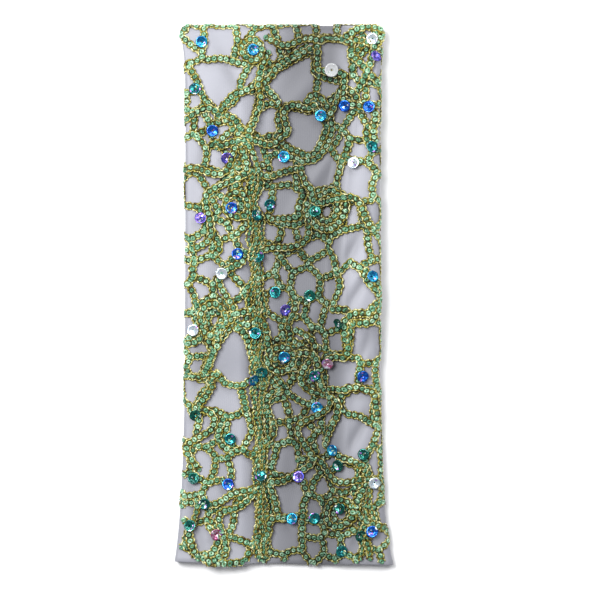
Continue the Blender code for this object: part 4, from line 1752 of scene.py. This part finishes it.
SEQUINS = (
    Sequin(-51.5, 326.4, CYAN),
    Sequin(-18.4, 322.6, CYAN),
    Sequin(56.5, 331.0, PALE, 18.0),
    Sequin(59.5, 317.0, VIOLET, 44.0),
    Sequin(-57.5, 295.2, TEAL, 16.0),
    Sequin(57.5, 287.0, BLUE, 20.0),
    Sequin(40.2, 285.8, BLUE),
    Sequin(24.0, 282.7, CYAN),
    Sequin(-43.4, 270.8, BLUE),
    Sequin(57.5, 260.8, TEAL, 20.0),
    Sequin(-35.9, 255.8, VIOLET, 24.0),
    Sequin(0.3, 255.8, CYAN),
    Sequin(44.6, 250.8, PALE, 20.0),
    Sequin(-8.4, 226.5, TEAL, 30.0),
    Sequin(-31.5, 224.0, BLUE),
    Sequin(20.3, 222.1, GREEN, 26.0),
    Sequin(-17.8, 218.4, TEAL, 34.0),
    Sequin(-51.5, 215.3, VIOLET, 28.0),
    Sequin(-29.0, 195.9, BLUE),
    Sequin(-14.2, 193.2, TEAL, 52.0),
    Sequin(-37.8, 182.8, PALE),
    Sequin(55.8, 179.7, CYAN, 30.0),
    Sequin(15.0, 172.2, GREEN),
    Sequin(-4.1, 170.6, TEAL, 22.0),
    Sequin(-1.2, 160.7, VIOLET, 34.0),
    Sequin(36.0, 153.1, GREEN, 40.0),
    Sequin(-56.5, 147.9, PALE, 18.0),
    Sequin(-19.0, 144.5, TEAL, 44.0),
    Sequin(1.5, 131.7, CYAN),
    Sequin(30.3, 126.7, ROSE, 32.0),
    Sequin(-14.0, 122.3, TEAL, 30.0),
    Sequin(19.7, 119.2, TEAL, 22.0),
    Sequin(53.4, 117.3, BLUE),
    Sequin(-20.9, 116.1, CYAN, 26.0),
    Sequin(21.5, 99.2, CYAN),
    Sequin(-56.5, 93.6, GREEN, 34.0),
    Sequin(-29.6, 81.7, TEAL),
    Sequin(33.2, 72.6, CYAN),
    Sequin(50.7, 68.0, GREEN, 24.0),
    Sequin(35.8, 61.2, GREEN),
    Sequin(-15.6, 55.0, TEAL, 50.0),
    Sequin(11.0, 55.5, VIOLET, 20.0),
    Sequin(-34.2, 50.2, BLUE),
    Sequin(-58.5, 50.7, GREEN, 20.0),
    Sequin(59.0, 49.3, PALE, 20.0),
    Sequin(-48.5, 38.8, GREEN),
    Sequin(37.0, 32.3, GREEN),
    Sequin(20.2, 30.7, TEAL),
    Sequin(6.6, 27.5, CYAN, 24.0),
    Sequin(-58.5, 23.1, GREEN, 20.0),
    Sequin(56.0, 21.9, BLUE),
    Sequin(-41.8, 18.2, ROSE, 20.0),
    Sequin(49.2, 18.3, GREEN, 54.0),
    Sequin(37.7, 7.5, TEAL, 46.0),
)


@dataclass
class Sequins:
    """The cupped, pleated discs that are sewn over the chains, and the one clear disc."""

    lace: ChainLace
    seed: int = 29
    radius: float = 3.75
    hole: float = 0.5
    cup: float = 1.3
    pleat: float = 0.34
    foil: float = 0.22
    pleats: int = 12
    bands: tuple[float, ...] = (0.0, 0.34, 0.68, 1.0)
    rise: float = 0.4
    off_stitch: float = 2.0
    edge_room: float = 4.5
    tip_share: float = 0.75
    tip_lift: float = 0.3
    clear_across: float = 32.8
    clear_along: float = 314.4
    clear_size: float = 1.18
    clear_tip: float = 6.0
    probe: float = 0.5
    tone_power: float = 1.4
    painted_glint_share: float = 0.035
    painted_white_glint: Colour = (0.85, 0.95, 0.98)
    painted_rosy_glint: Colour = (0.45, 0.22, 0.70)

    def disc(self) -> Shape:
        """Cup a pleated disc with a hole in its middle, and give it a thickness.

        Its height is the square of the share of the radius, plus a zigzag round the disc
        that grows with that share.

        Returns:
            The disc's points about its own middle, and its faces.
        """
        share = np.array(self.bands)[:, None]
        turn = np.arange(self.pleats)[None]
        angle = math.tau * turn / self.pleats
        reach = self.hole + (self.radius - self.hole) * share
        zigzag = np.where(turn % 2 == 0, 1.0, -1.0) * self.pleat * share
        height = self.cup * share**2 + zigzag
        lower = np.stack((reach * np.cos(angle), reach * np.sin(angle), height), axis=-1)
        upper = lower + (0.0, 0.0, self.foil)
        rows = np.concatenate((lower, upper[::-1]))
        return rows.reshape(-1, 3), wrapped_faces(len(rows), self.pleats)

    def places(self, rows: list[tuple[float, float]]) -> Array:
        """Seat each sequin on the stitch that lies nearest to its place seen from above.

        Args:
            rows: places seen from above.

        Returns:
            Flat places on top of the lace, drawn to within reach of a stitch.
        """
        flat = self.lace.face.flat_place(np.array(rows))
        stitches = self.lace.settle(np.concatenate(self.lace.made.places))
        left_end, right_end = self.lace.face.fold.ends(stitches[:, 1])
        reach = np.minimum(-left_end, right_end)
        stitches = stitches[np.abs(stitches[:, 0]) < reach - self.edge_room]
        offsets = stitches[None, :, :2] - flat[:, None]
        away = np.linalg.norm(offsets, axis=-1)
        nearest = np.argmin(away, axis=1)
        count = np.arange(len(flat))
        excess = np.maximum(away[count, nearest] - self.off_stitch, 0.0) / away[count, nearest]
        flat = flat + offsets[count, nearest] * excess[:, None]
        close = away < self.radius
        tops = np.where(close, stitches[None, :, 2], 0.0).max(axis=1)
        return np.column_stack((flat, np.maximum(tops, stitches[nearest, 2]) + self.rise))

    def set_out(self, flat: Array, tips: Array, turns: Array, size: float = 1.0) -> Shape:
        """Put a rigid disc at each place, tipped away from the face's normal there.

        Args:
            flat: places on the lace.
            tips: how far each disc tips, in radians.
            turns: which way it tips.
            size: how large each disc is, against a coloured one.

        Returns:
            The points in the model, and the faces.
        """
        shape, faces = self.disc()
        middle = self.lace.face.lift(flat)
        across = unit(self.lace.face.lift(flat + (self.probe, 0.0, 0.0)) - middle)
        upward = unit(self.lace.face.lift(flat + (0.0, 0.0, self.probe)) - middle)
        ahead = np.cross(upward, across)
        lean = np.cos(turns)[:, None] * across + np.sin(turns)[:, None] * ahead
        aside = np.cross(upward, lean)
        tipped = np.cos(tips)[:, None] * lean + np.sin(tips)[:, None] * upward
        normal = np.cross(tipped, aside)
        axes = np.stack((tipped, aside, normal), axis=1)
        raised = middle + upward * (self.radius * np.sin(tips) * self.tip_lift)[:, None]
        return repeated(raised[:, None] + (shape * size) @ axes, faces)

    def facet_colours(self, faces_each: int) -> Array:
        """Draw each facet's colour between its sequin's two; a rare facet gets a painted white or rosy
        glint.

        Args:
            faces_each: how many faces one disc has.

        Returns:
            Colours with alpha, one for each face.
        """
        draws = np.random.default_rng(self.seed)
        pairs = np.array([row.tone.value for row in SEQUINS])
        share = draws.random((len(SEQUINS), faces_each, 1)) ** self.tone_power
        colours = pairs[:, None, 0] * (1.0 - share) + pairs[:, None, 1] * share
        flash = draws.random((len(SEQUINS), faces_each, 1))
        # Painted glints: a few facets are coloured white or rosy as if they caught the light.
        colours = np.where(flash > 1.0 - self.painted_glint_share, self.painted_white_glint, colours)
        colours = np.where(flash < self.painted_glint_share, self.painted_rosy_glint, colours)
        return np.concatenate((colours, np.ones_like(share)), axis=-1).reshape(-1, 4)

    def build(self, foil: Material, clear: Material) -> list[Piece]:
        """Sew the sequins on.

        Args:
            foil: the coloured sequins' finish.
            clear: the clear disc's finish.

        Returns:
            The two pieces.
        """
        draws = np.random.default_rng(self.seed + 1)
        flat = self.places([(row.across, row.along) for row in SEQUINS])
        tips = self.tip_share * np.radians([row.tip for row in SEQUINS])
        points, faces = self.set_out(flat, tips, math.tau * draws.random(len(SEQUINS)))
        mesh = new_mesh("sequins", points, faces)
        colours = self.facet_colours(len(faces) // len(SEQUINS))
        layer = mesh.color_attributes.new(name="facet", type="FLOAT_COLOR", domain="CORNER")
        layer.data.foreach_set("color", np.repeat(colours, 4, axis=0).astype(np.float32).ravel())
        made = [new_piece(mesh, foil, "lace_web", smooth=False)]
        flat = self.places([(self.clear_across, self.clear_along)])
        points, faces = self.set_out(flat, np.radians([self.clear_tip]), np.zeros(1), self.clear_size)
        mesh = new_mesh("clear_sequin", points, faces)
        made.append(new_piece(mesh, clear, "lace_web", smooth=False))
        return made


class Tree:
    """A node tree that is being filled, with short ways to add and join nodes.

    A Mix node's colour sockets come after those for numbers and vectors, so they go by number.
    """

    mix_inputs: tuple[int, int] = (6, 7)
    mix_output: int = 2

    def __init__(self, nodes: Group) -> None:
        """Keep the tree."""
        self.tree = nodes

    def add(self, kind: str, **values: object) -> Node:
        """Add a node.

        Args:
            kind: its type's name in Blender.
            values: its properties by name.

        Returns:
            The node.
        """
        node = self.tree.nodes.new(kind)
        for name, value in values.items():
            setattr(node, name, value)
        return node

    def join(self, source: Socket, target: Socket) -> None:
        """Join one socket to another."""
        self.tree.links.new(source, target)

    def place(self) -> Socket:
        """Return each point's Object coordinates."""
        return self.add("ShaderNodeTexCoord").outputs["Object"]

    def math(self, operation: str, first: Socket | float, second: Socket | float) -> Socket:
        """Add a Math node.

        Args:
            operation: what it works out.
            first: its first input, as a socket or a number.
            second: its second input.

        Returns:
            Its output.
        """
        node = self.add("ShaderNodeMath", operation=operation)
        for socket, value in zip(node.inputs, (first, second)):
            if isinstance(value, float):
                socket.default_value = value
            else:
                self.join(value, socket)
        return node.outputs[0]

    def between(self, share: Socket, low: float, high: float) -> Socket:
        """Turn a share from 0 to 1 into a number from low to high."""
        return self.math("ADD", self.math("MULTIPLY", share, high - low), low)

    def mix(self, share: Socket, first: Colour, second: Colour) -> Socket:
        """Mix two colours.

        Args:
            share: how much the second counts, from 0 to 1.
            first: the first colour.
            second: the second.

        Returns:
            The mixed colour.
        """
        node = self.add("ShaderNodeMix", data_type="RGBA")
        self.join(share, node.inputs[0])
        for number, colour in zip(self.mix_inputs, (first, second)):
            node.inputs[number].default_value = (*colour, 1.0)
        return node.outputs[self.mix_output]

    def noise(self, vector: Socket, scale: float, detail: float = 2.0) -> Socket:
        """Add a Noise texture.

        Args:
            vector: where it is read.
            scale: how fine it is.
            detail: how many finer layers it has.

        Returns:
            Its value, from 0 to 1.
        """
        node = self.add("ShaderNodeTexNoise")
        set_values(node, {"Scale": scale, "Detail": detail})
        self.join(vector, node.inputs["Vector"])
        return node.outputs["Fac"]

    def wave(self, vector: Socket, direction: str, values: dict[str, float]) -> Node:
        """Add a Wave texture.

        Args:
            vector: where it is read.
            direction: which way it changes.
            values: its constant inputs by name.

        Returns:
            Its node.
        """
        node = self.add("ShaderNodeTexWave", bands_direction=direction)
        set_values(node, values)
        self.join(vector, node.inputs["Vector"])
        return node

    def bump(self, height: Socket, strength: float, distance: float) -> Socket:
        """Raise a surface by a height.

        Args:
            height: the height, from 0 to 1.
            strength: how much of the bump counts.
            distance: how far a height of 1 is, in metres.

        Returns:
            The surface's normal.
        """
        node = self.add("ShaderNodeBump")
        set_values(node, {"Strength": strength, "Distance": distance})
        self.join(height, node.inputs["Height"])
        return node.outputs["Normal"]


def set_values(node: Node, values: dict[str, float]) -> None:
    """Set constant numbers on a node's own inputs."""
    for name, value in values.items():
        node.inputs[name].default_value = value


def new_group(
    name: str, inputs: tuple[str, ...], outputs: tuple[str, ...]
) -> tuple[Group, Tree, Node, Node]:
    """Start a node group.

    Args:
        name: the group's name.
        inputs: the inputs' names; "Vector" is a vector and the rest are numbers.
        outputs: the outputs' names, all numbers.

    Returns:
        The group, its tree, its input node and its output node.
    """
    group = bpy.data.node_groups.new(name, "ShaderNodeTree")
    for socket in inputs:
        kind = "NodeSocketVector" if socket == "Vector" else "NodeSocketFloat"
        group.interface.new_socket(socket, in_out="INPUT", socket_type=kind)
    for socket in outputs:
        group.interface.new_socket(socket, in_out="OUTPUT", socket_type="NodeSocketFloat")
    tree = Tree(group)
    return group, tree, tree.add("NodeGroupInput"), tree.add("NodeGroupOutput")


def twist_group() -> Group:
    """Build the group for wound thread and twisted foil: fine slanting ribs and a mottle.

    Returns:
        A group with the inputs Vector and Fineness, and the outputs Height and Mottle.
    """
    group, tree, given, out = new_group("wound_thread", ("Vector", "Fineness"), ("Height", "Mottle"))
    vector = given.outputs["Vector"]
    wave = tree.wave(vector, "DIAGONAL", {"Distortion": 2.5, "Detail": 1.0})
    tree.join(given.outputs["Fineness"], wave.inputs["Scale"])
    tree.join(wave.outputs["Fac"], out.inputs["Height"])
    tree.join(tree.noise(vector, scale=900.0, detail=3.0), out.inputs["Mottle"])
    return group


def weave_group(rib_share: float = 0.75) -> Group:
    """Build the group for satin: fine ribs along the strip, a finer cross thread, and slubs.

    Args:
        rib_share: the ribs' share of the height, of which the cross thread has the rest.

    Returns:
        A group with the input Vector, and the outputs Height and Slub.
    """
    group, tree, given, out = new_group("satin_weave", ("Vector",), ("Height", "Slub"))
    vector = given.outputs["Vector"]
    ribs = tree.wave(vector, "X", {"Scale": 260.0, "Distortion": 1.6, "Detail": 2.0})
    threads = tree.wave(vector, "Y", {"Scale": 900.0, "Distortion": 0.6})
    coarse = tree.math("MULTIPLY", ribs.outputs["Fac"], rib_share)
    fine = tree.math("MULTIPLY", threads.outputs["Fac"], 1.0 - rib_share)
    tree.join(tree.math("ADD", coarse, fine), out.inputs["Height"])
    tree.join(tree.noise(vector, scale=45.0, detail=4.0), out.inputs["Slub"])
    return group


def shade_group(least_kept: float = 0.12) -> Group:
    """Build the group that paints shade into a colour in the hollows, by the mesh's own hollow value.

    Args:
        least_kept: the share of light that the deepest hollow keeps.

    Returns:
        A group with the input Depth, and the output Keep, which is the share of light kept.
    """
    group, tree, given, out = new_group("painted_hollow_shade", ("Depth",), ("Keep",))
    hollow = tree.add("ShaderNodeAttribute", attribute_name="hollow")
    taken = tree.math("MULTIPLY", hollow.outputs["Fac"], given.outputs["Depth"])
    kept = tree.math("SUBTRACT", 1.0, taken)
    tree.join(tree.math("MAXIMUM", kept, least_kept), out.inputs["Keep"])
    return group


def new_material(name: str) -> tuple[Material, Tree, Node]:
    """Start a material.

    Args:
        name: the material's name.

    Returns:
        The material, its tree and its Principled shader.
    """
    material = bpy.data.materials.new(name)
    material.use_nodes = True
    return material, Tree(material.node_tree), material.node_tree.nodes["Principled BSDF"]


def shaded(tree: Tree, shade: Group, depth: float, colour: Socket) -> Socket:
    """Paint shade into a colour: multiply it by what the hollows keep of the light.

    Args:
        tree: the material's tree.
        shade: the hollows' group.
        depth: how much of the light is taken where the hollow value is 1.
        colour: the colour to deepen.

    Returns:
        The deepened colour.
    """
    keep = tree.add("ShaderNodeGroup", node_tree=shade)
    set_values(keep, {"Depth": depth})
    deepened = tree.add("ShaderNodeVectorMath", operation="SCALE")
    tree.join(colour, deepened.inputs[0])
    tree.join(keep.outputs["Keep"], deepened.inputs["Scale"])
    return deepened.outputs["Vector"]


@dataclass(frozen=True)
class SatinFinish:
    """Smooth lilac-grey satin with a soft gloss that spreads across its long floats."""

    pale: Colour = (0.345, 0.349, 0.392)
    deep: Colour = (0.270, 0.274, 0.310)
    painted_shade_depth: float = 0.53
    metallic: float = 0.10
    rough_low: float = 0.50
    rough_high: float = 0.60
    rib_strength: float = 0.35
    rib_depth: float = 0.00006
    sheen: float = 0.15
    sheen_roughness: float = 0.4

    def material(self, weave_nodes: Group, shade: Group) -> Material:
        """Mix two tones by the slubs, paint shade into the hollows, and raise the ribs as a bump.

        Args:
            weave_nodes: the satin's group.
            shade: the hollows' group.

        Returns:
            The material.
        """
        material, tree, shader = new_material("satin")
        place = tree.add("ShaderNodeUVMap", uv_map="flat")
        weave = tree.add("ShaderNodeGroup", node_tree=weave_nodes)
        tree.join(place.outputs["UV"], weave.inputs["Vector"])
        slub = weave.outputs["Slub"]
        satin = tree.mix(slub, self.deep, self.pale)
        tree.join(shaded(tree, shade, self.painted_shade_depth, satin), shader.inputs["Base Color"])
        tree.join(tree.between(slub, self.rough_low, self.rough_high), shader.inputs["Roughness"])
        normal = tree.bump(weave.outputs["Height"], self.rib_strength, self.rib_depth)
        tree.join(normal, shader.inputs["Normal"])
        sheen = {"Sheen Weight": self.sheen, "Sheen Roughness": self.sheen_roughness}
        set_values(shader, {"Metallic": self.metallic, **sheen})
        return material


@dataclass(frozen=True)
class ThreadFinish:
    """Wound thread or foil cord, whose tone changes from stitch to stitch."""

    name: str
    dark: Colour
    middle: Colour
    light: Colour
    metallic: float = 0.0
    roughness: float = 0.38
    coat: float = 0.0
    fineness: float = 1500.0
    depth: float = 0.00012
    painted_shade_depth: float = 0.41
    tone_share: float = 0.6
    ramp: tuple[float, float, float] = (0.26, 0.5, 0.76)
    bump_strength: float = 0.8

    def material(self, twist_nodes: Group, shade: Group) -> Material:
        """Ramp three tones over the stitch's own tone and a mottle, paint shade into the hollows, and
        raise the twist.

        Args:
            twist_nodes: the wound thread's group.
            shade: the hollows' group.

        Returns:
            The material.
        """
        material, tree, shader = new_material(self.name)
        twist = tree.add("ShaderNodeGroup", node_tree=twist_nodes)
        set_values(twist, {"Fineness": self.fineness})
        tree.join(tree.place(), twist.inputs["Vector"])
        tone = tree.add("ShaderNodeAttribute", attribute_name="tone")
        own = tree.math("MULTIPLY", tone.outputs["Fac"], self.tone_share)
        mottle = tree.math("MULTIPLY", twist.outputs["Mottle"], 1.0 - self.tone_share)
        ramp = tree.add("ShaderNodeValToRGB")
        stops = ramp.color_ramp.elements
        stops[0].position = self.ramp[0]
        stops[0].color = (*self.dark, 1.0)
        stops[1].position = self.ramp[2]
        stops[1].color = (*self.light, 1.0)
        stops.new(self.ramp[1]).color = (*self.middle, 1.0)
        tree.join(tree.math("ADD", own, mottle), ramp.inputs["Fac"])
        colour = shaded(tree, shade, self.painted_shade_depth, ramp.outputs["Color"])
        tree.join(colour, shader.inputs["Base Color"])
        normal = tree.bump(twist.outputs["Height"], self.bump_strength, self.depth)
        tree.join(normal, shader.inputs["Normal"])
        values = {"Metallic": self.metallic, "Roughness": self.roughness, "Coat Weight": self.coat}
        set_values(shader, values)
        return material


MINT = ThreadFinish(
    "mint_thread", dark=(0.032, 0.14, 0.07), middle=(0.15, 0.41, 0.22), light=(0.57, 0.84, 0.59), coat=0.3
)
# The gold's tone runs at random from dark olive to cream along the cord: partly the foil's own tone,
# partly painted glints and painted shade on its twist.
GOLD = ThreadFinish(
    "gold_cord",
    dark=(0.10, 0.055, 0.003),
    middle=(0.48, 0.43, 0.062),
    light=(0.98, 0.96, 0.56),
    metallic=0.3,
    roughness=0.28,
    fineness=1100.0,
    depth=0.0002,
)
# The core is a dark strip under each chain; its dark olive colour is painted shade for the gaps between
# the rings and the cords.
CORE = ThreadFinish(
    "core_with_painted_shade",
    dark=(0.032, 0.045, 0.008),
    middle=(0.12, 0.125, 0.018),
    light=(0.38, 0.33, 0.045),
    roughness=0.6,
    depth=0.0001,
)


@dataclass(frozen=True)
class SequinFinish:
    """Thin film whose facets each flash their own colour."""

    metallic: float = 0.72
    rough_low: float = 0.18
    rough_high: float = 0.34
    coat: float = 0.35
    coat_roughness: float = 0.08
    fineness: float = 600.0

    def material(self) -> Material:
        """Take each facet's colour from the mesh, and vary the gloss a little over it.

        Returns:
            The material.
        """
        material, tree, shader = new_material("sequin_foil")
        facet = tree.add("ShaderNodeAttribute", attribute_name="facet")
        tree.join(facet.outputs["Color"], shader.inputs["Base Color"])
        noise = tree.noise(tree.place(), self.fineness)
        tree.join(tree.between(noise, self.rough_low, self.rough_high), shader.inputs["Roughness"])
        coat = {"Coat Weight": self.coat, "Coat Roughness": self.coat_roughness}
        set_values(shader, {"Metallic": self.metallic, **coat})
        return material


@dataclass(frozen=True)
class ClearFinish:
    """A clear disc, a little milky, that lets the satin show through."""

    tint: Colour = (0.48, 0.49, 0.50)
    alpha_low: float = 0.6
    alpha_high: float = 0.8
    roughness: float = 0.4
    coat: float = 0.15
    fineness: float = 300.0

    def material(self) -> Material:
        """Make a pale glossy film whose cover varies a little.

        Returns:
            The material.
        """
        material, tree, shader = new_material("clear_film")
        noise = tree.noise(tree.place(), self.fineness)
        tree.join(tree.between(noise, self.alpha_low, self.alpha_high), shader.inputs["Alpha"])
        shader.inputs["Base Color"].default_value = (*self.tint, 1.0)
        set_values(shader, {"Roughness": self.roughness, "Coat Weight": self.coat})
        return material


class Softbox(NamedTuple):
    """A soft rectangular light that faces the part: its place and size in metres, and its watts."""

    name: str
    place: tuple[float, float, float]
    size: tuple[float, float]
    power: float


SOFTBOXES = (
    Softbox("left_softbox", (-0.58, 0.40, 1.50), (0.60, 0.9), 33.8),
    Softbox("right_softbox", (0.80, 0.80, 1.25), (0.60, 0.9), 9.0),
    Softbox("top_fill", (0.1, 1.2, 0.9), (1.0, 0.4), 7.0),
)


@dataclass(frozen=True)
class Studio:
    """The pale floor, the soft lights and the camera straight above."""

    lens: float = 215.0
    camera_height: float = 2.225
    camera_reach: float = 50.0
    aim_across: float = 0.0078
    aim_along: float = -0.0003
    floor_size: float = 12.0
    floor_colour: Colour = (0.96, 0.96, 0.965)
    floor_deeper: float = 0.97
    floor_mottle: float = 3.0
    floor_roughness: float = 0.6
    world_colour: Colour = (0.86, 0.88, 0.92)
    world_strength: float = 0.27

    def build(self, shift: Array) -> None:
        """Make the floor, the lights, the even surroundings and the camera.

        Args:
            shift: the move from the fold's own place to the frame's, in millimetres.
        """
        self.floor()
        for softbox in SOFTBOXES:
            self.light(softbox)
        self.world()
        self.camera(shift)
        bpy.context.scene.view_settings.view_transform = "Standard"

    def floor(self) -> None:
        """Lay a plain pale floor under the part, which isn't part of the object."""
        square = np.array(((-1.0, -1.0, 0.0), (1.0, -1.0, 0.0), (1.0, 1.0, 0.0), (-1.0, 1.0, 0.0)))
        mesh = new_mesh("floor", square * self.floor_size / 2.0 / METRES, np.array([[0, 1, 2, 3]]))
        material, tree, shader = new_material("floor")
        noise = tree.noise(tree.place(), self.floor_mottle)
        deeper = tuple(self.floor_deeper * value for value in self.floor_colour)
        tree.join(tree.mix(noise, deeper, self.floor_colour), shader.inputs["Base Color"])
        set_values(shader, {"Roughness": self.floor_roughness})
        mesh.materials.append(material)
        put("floor", mesh)

    def light(self, softbox: Softbox) -> None:
        """Hang one softbox and turn it to the part.

        Args:
            softbox: the light.
        """
        data = bpy.data.lights.new(softbox.name, "AREA")
        data.shape = "RECTANGLE"
        data.size, data.size_y = softbox.size
        data.energy = softbox.power
        light = put(softbox.name, data)
        light.location = softbox.place
        light.rotation_euler = (-light.location).to_track_quat("-Z", "Y").to_euler()

    def world(self) -> None:
        """Fill the surroundings with an even pale light."""
        world = bpy.data.worlds.new("studio")
        world.use_nodes = True
        background = world.node_tree.nodes["Background"]
        background.inputs["Color"].default_value = (*self.world_colour, 1.0)
        background.inputs["Strength"].default_value = self.world_strength
        bpy.context.scene.world = world

    def camera(self, shift: Array) -> None:
        """Hang the camera straight above, with the folded end at the top of the picture.

        Args:
            shift: the move from the fold's own place to the frame's, in millimetres.
        """
        data = bpy.data.cameras.new("camera")
        data.lens = self.lens
        data.clip_end = self.camera_reach
        camera = put("camera", data)
        across = self.aim_across + shift[0] * METRES
        camera.location = (across, self.aim_along + shift[1] * METRES, self.camera_height)
        bpy.context.scene.camera = camera


def shift_to_frame(satin: Satin) -> Array:
    """Find the move that puts the fold where the frame's solid lies.

    Args:
        satin: the satin in its own place.

    Returns:
        The move in millimetres.
    """
    outer, _, _ = satin.surfaces(satin.stations())
    low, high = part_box("satin_ground")
    across = low.x / METRES - outer[..., 0].min()
    along = high.y / METRES - outer[..., 1].max()
    return np.array((across, along, low.z / METRES - outer[..., 2].min()))


def main() -> None:
    """Build the satin, the lace and the sequins in order, and set up the studio."""
    logging.basicConfig(level=logging.INFO, format="%(name)s %(message)s")
    fold = Fold()
    satin = Satin(fold)
    shift = shift_to_frame(satin)
    shade = shade_group()
    ground = satin.build(SatinFinish().material(weave_group(), shade), shift)

    plan = LacePlan(fold)
    lace = ChainLace(FaceMap(satin, shift, -plan.lace_left, plan.lace_right), plan)
    twist = twist_group()
    pieces = lace.build(*(finish.material(twist, shade) for finish in (MINT, GOLD, CORE)))
    pieces += Sequins(lace).build(SequinFinish().material(), ClearFinish().material())

    for piece in (ground, *pieces):
        LOG.info("%s: %d faces", piece.name, len(piece.data.polygons))
    Studio().build(shift)


if __name__ == "__main__":
    main()
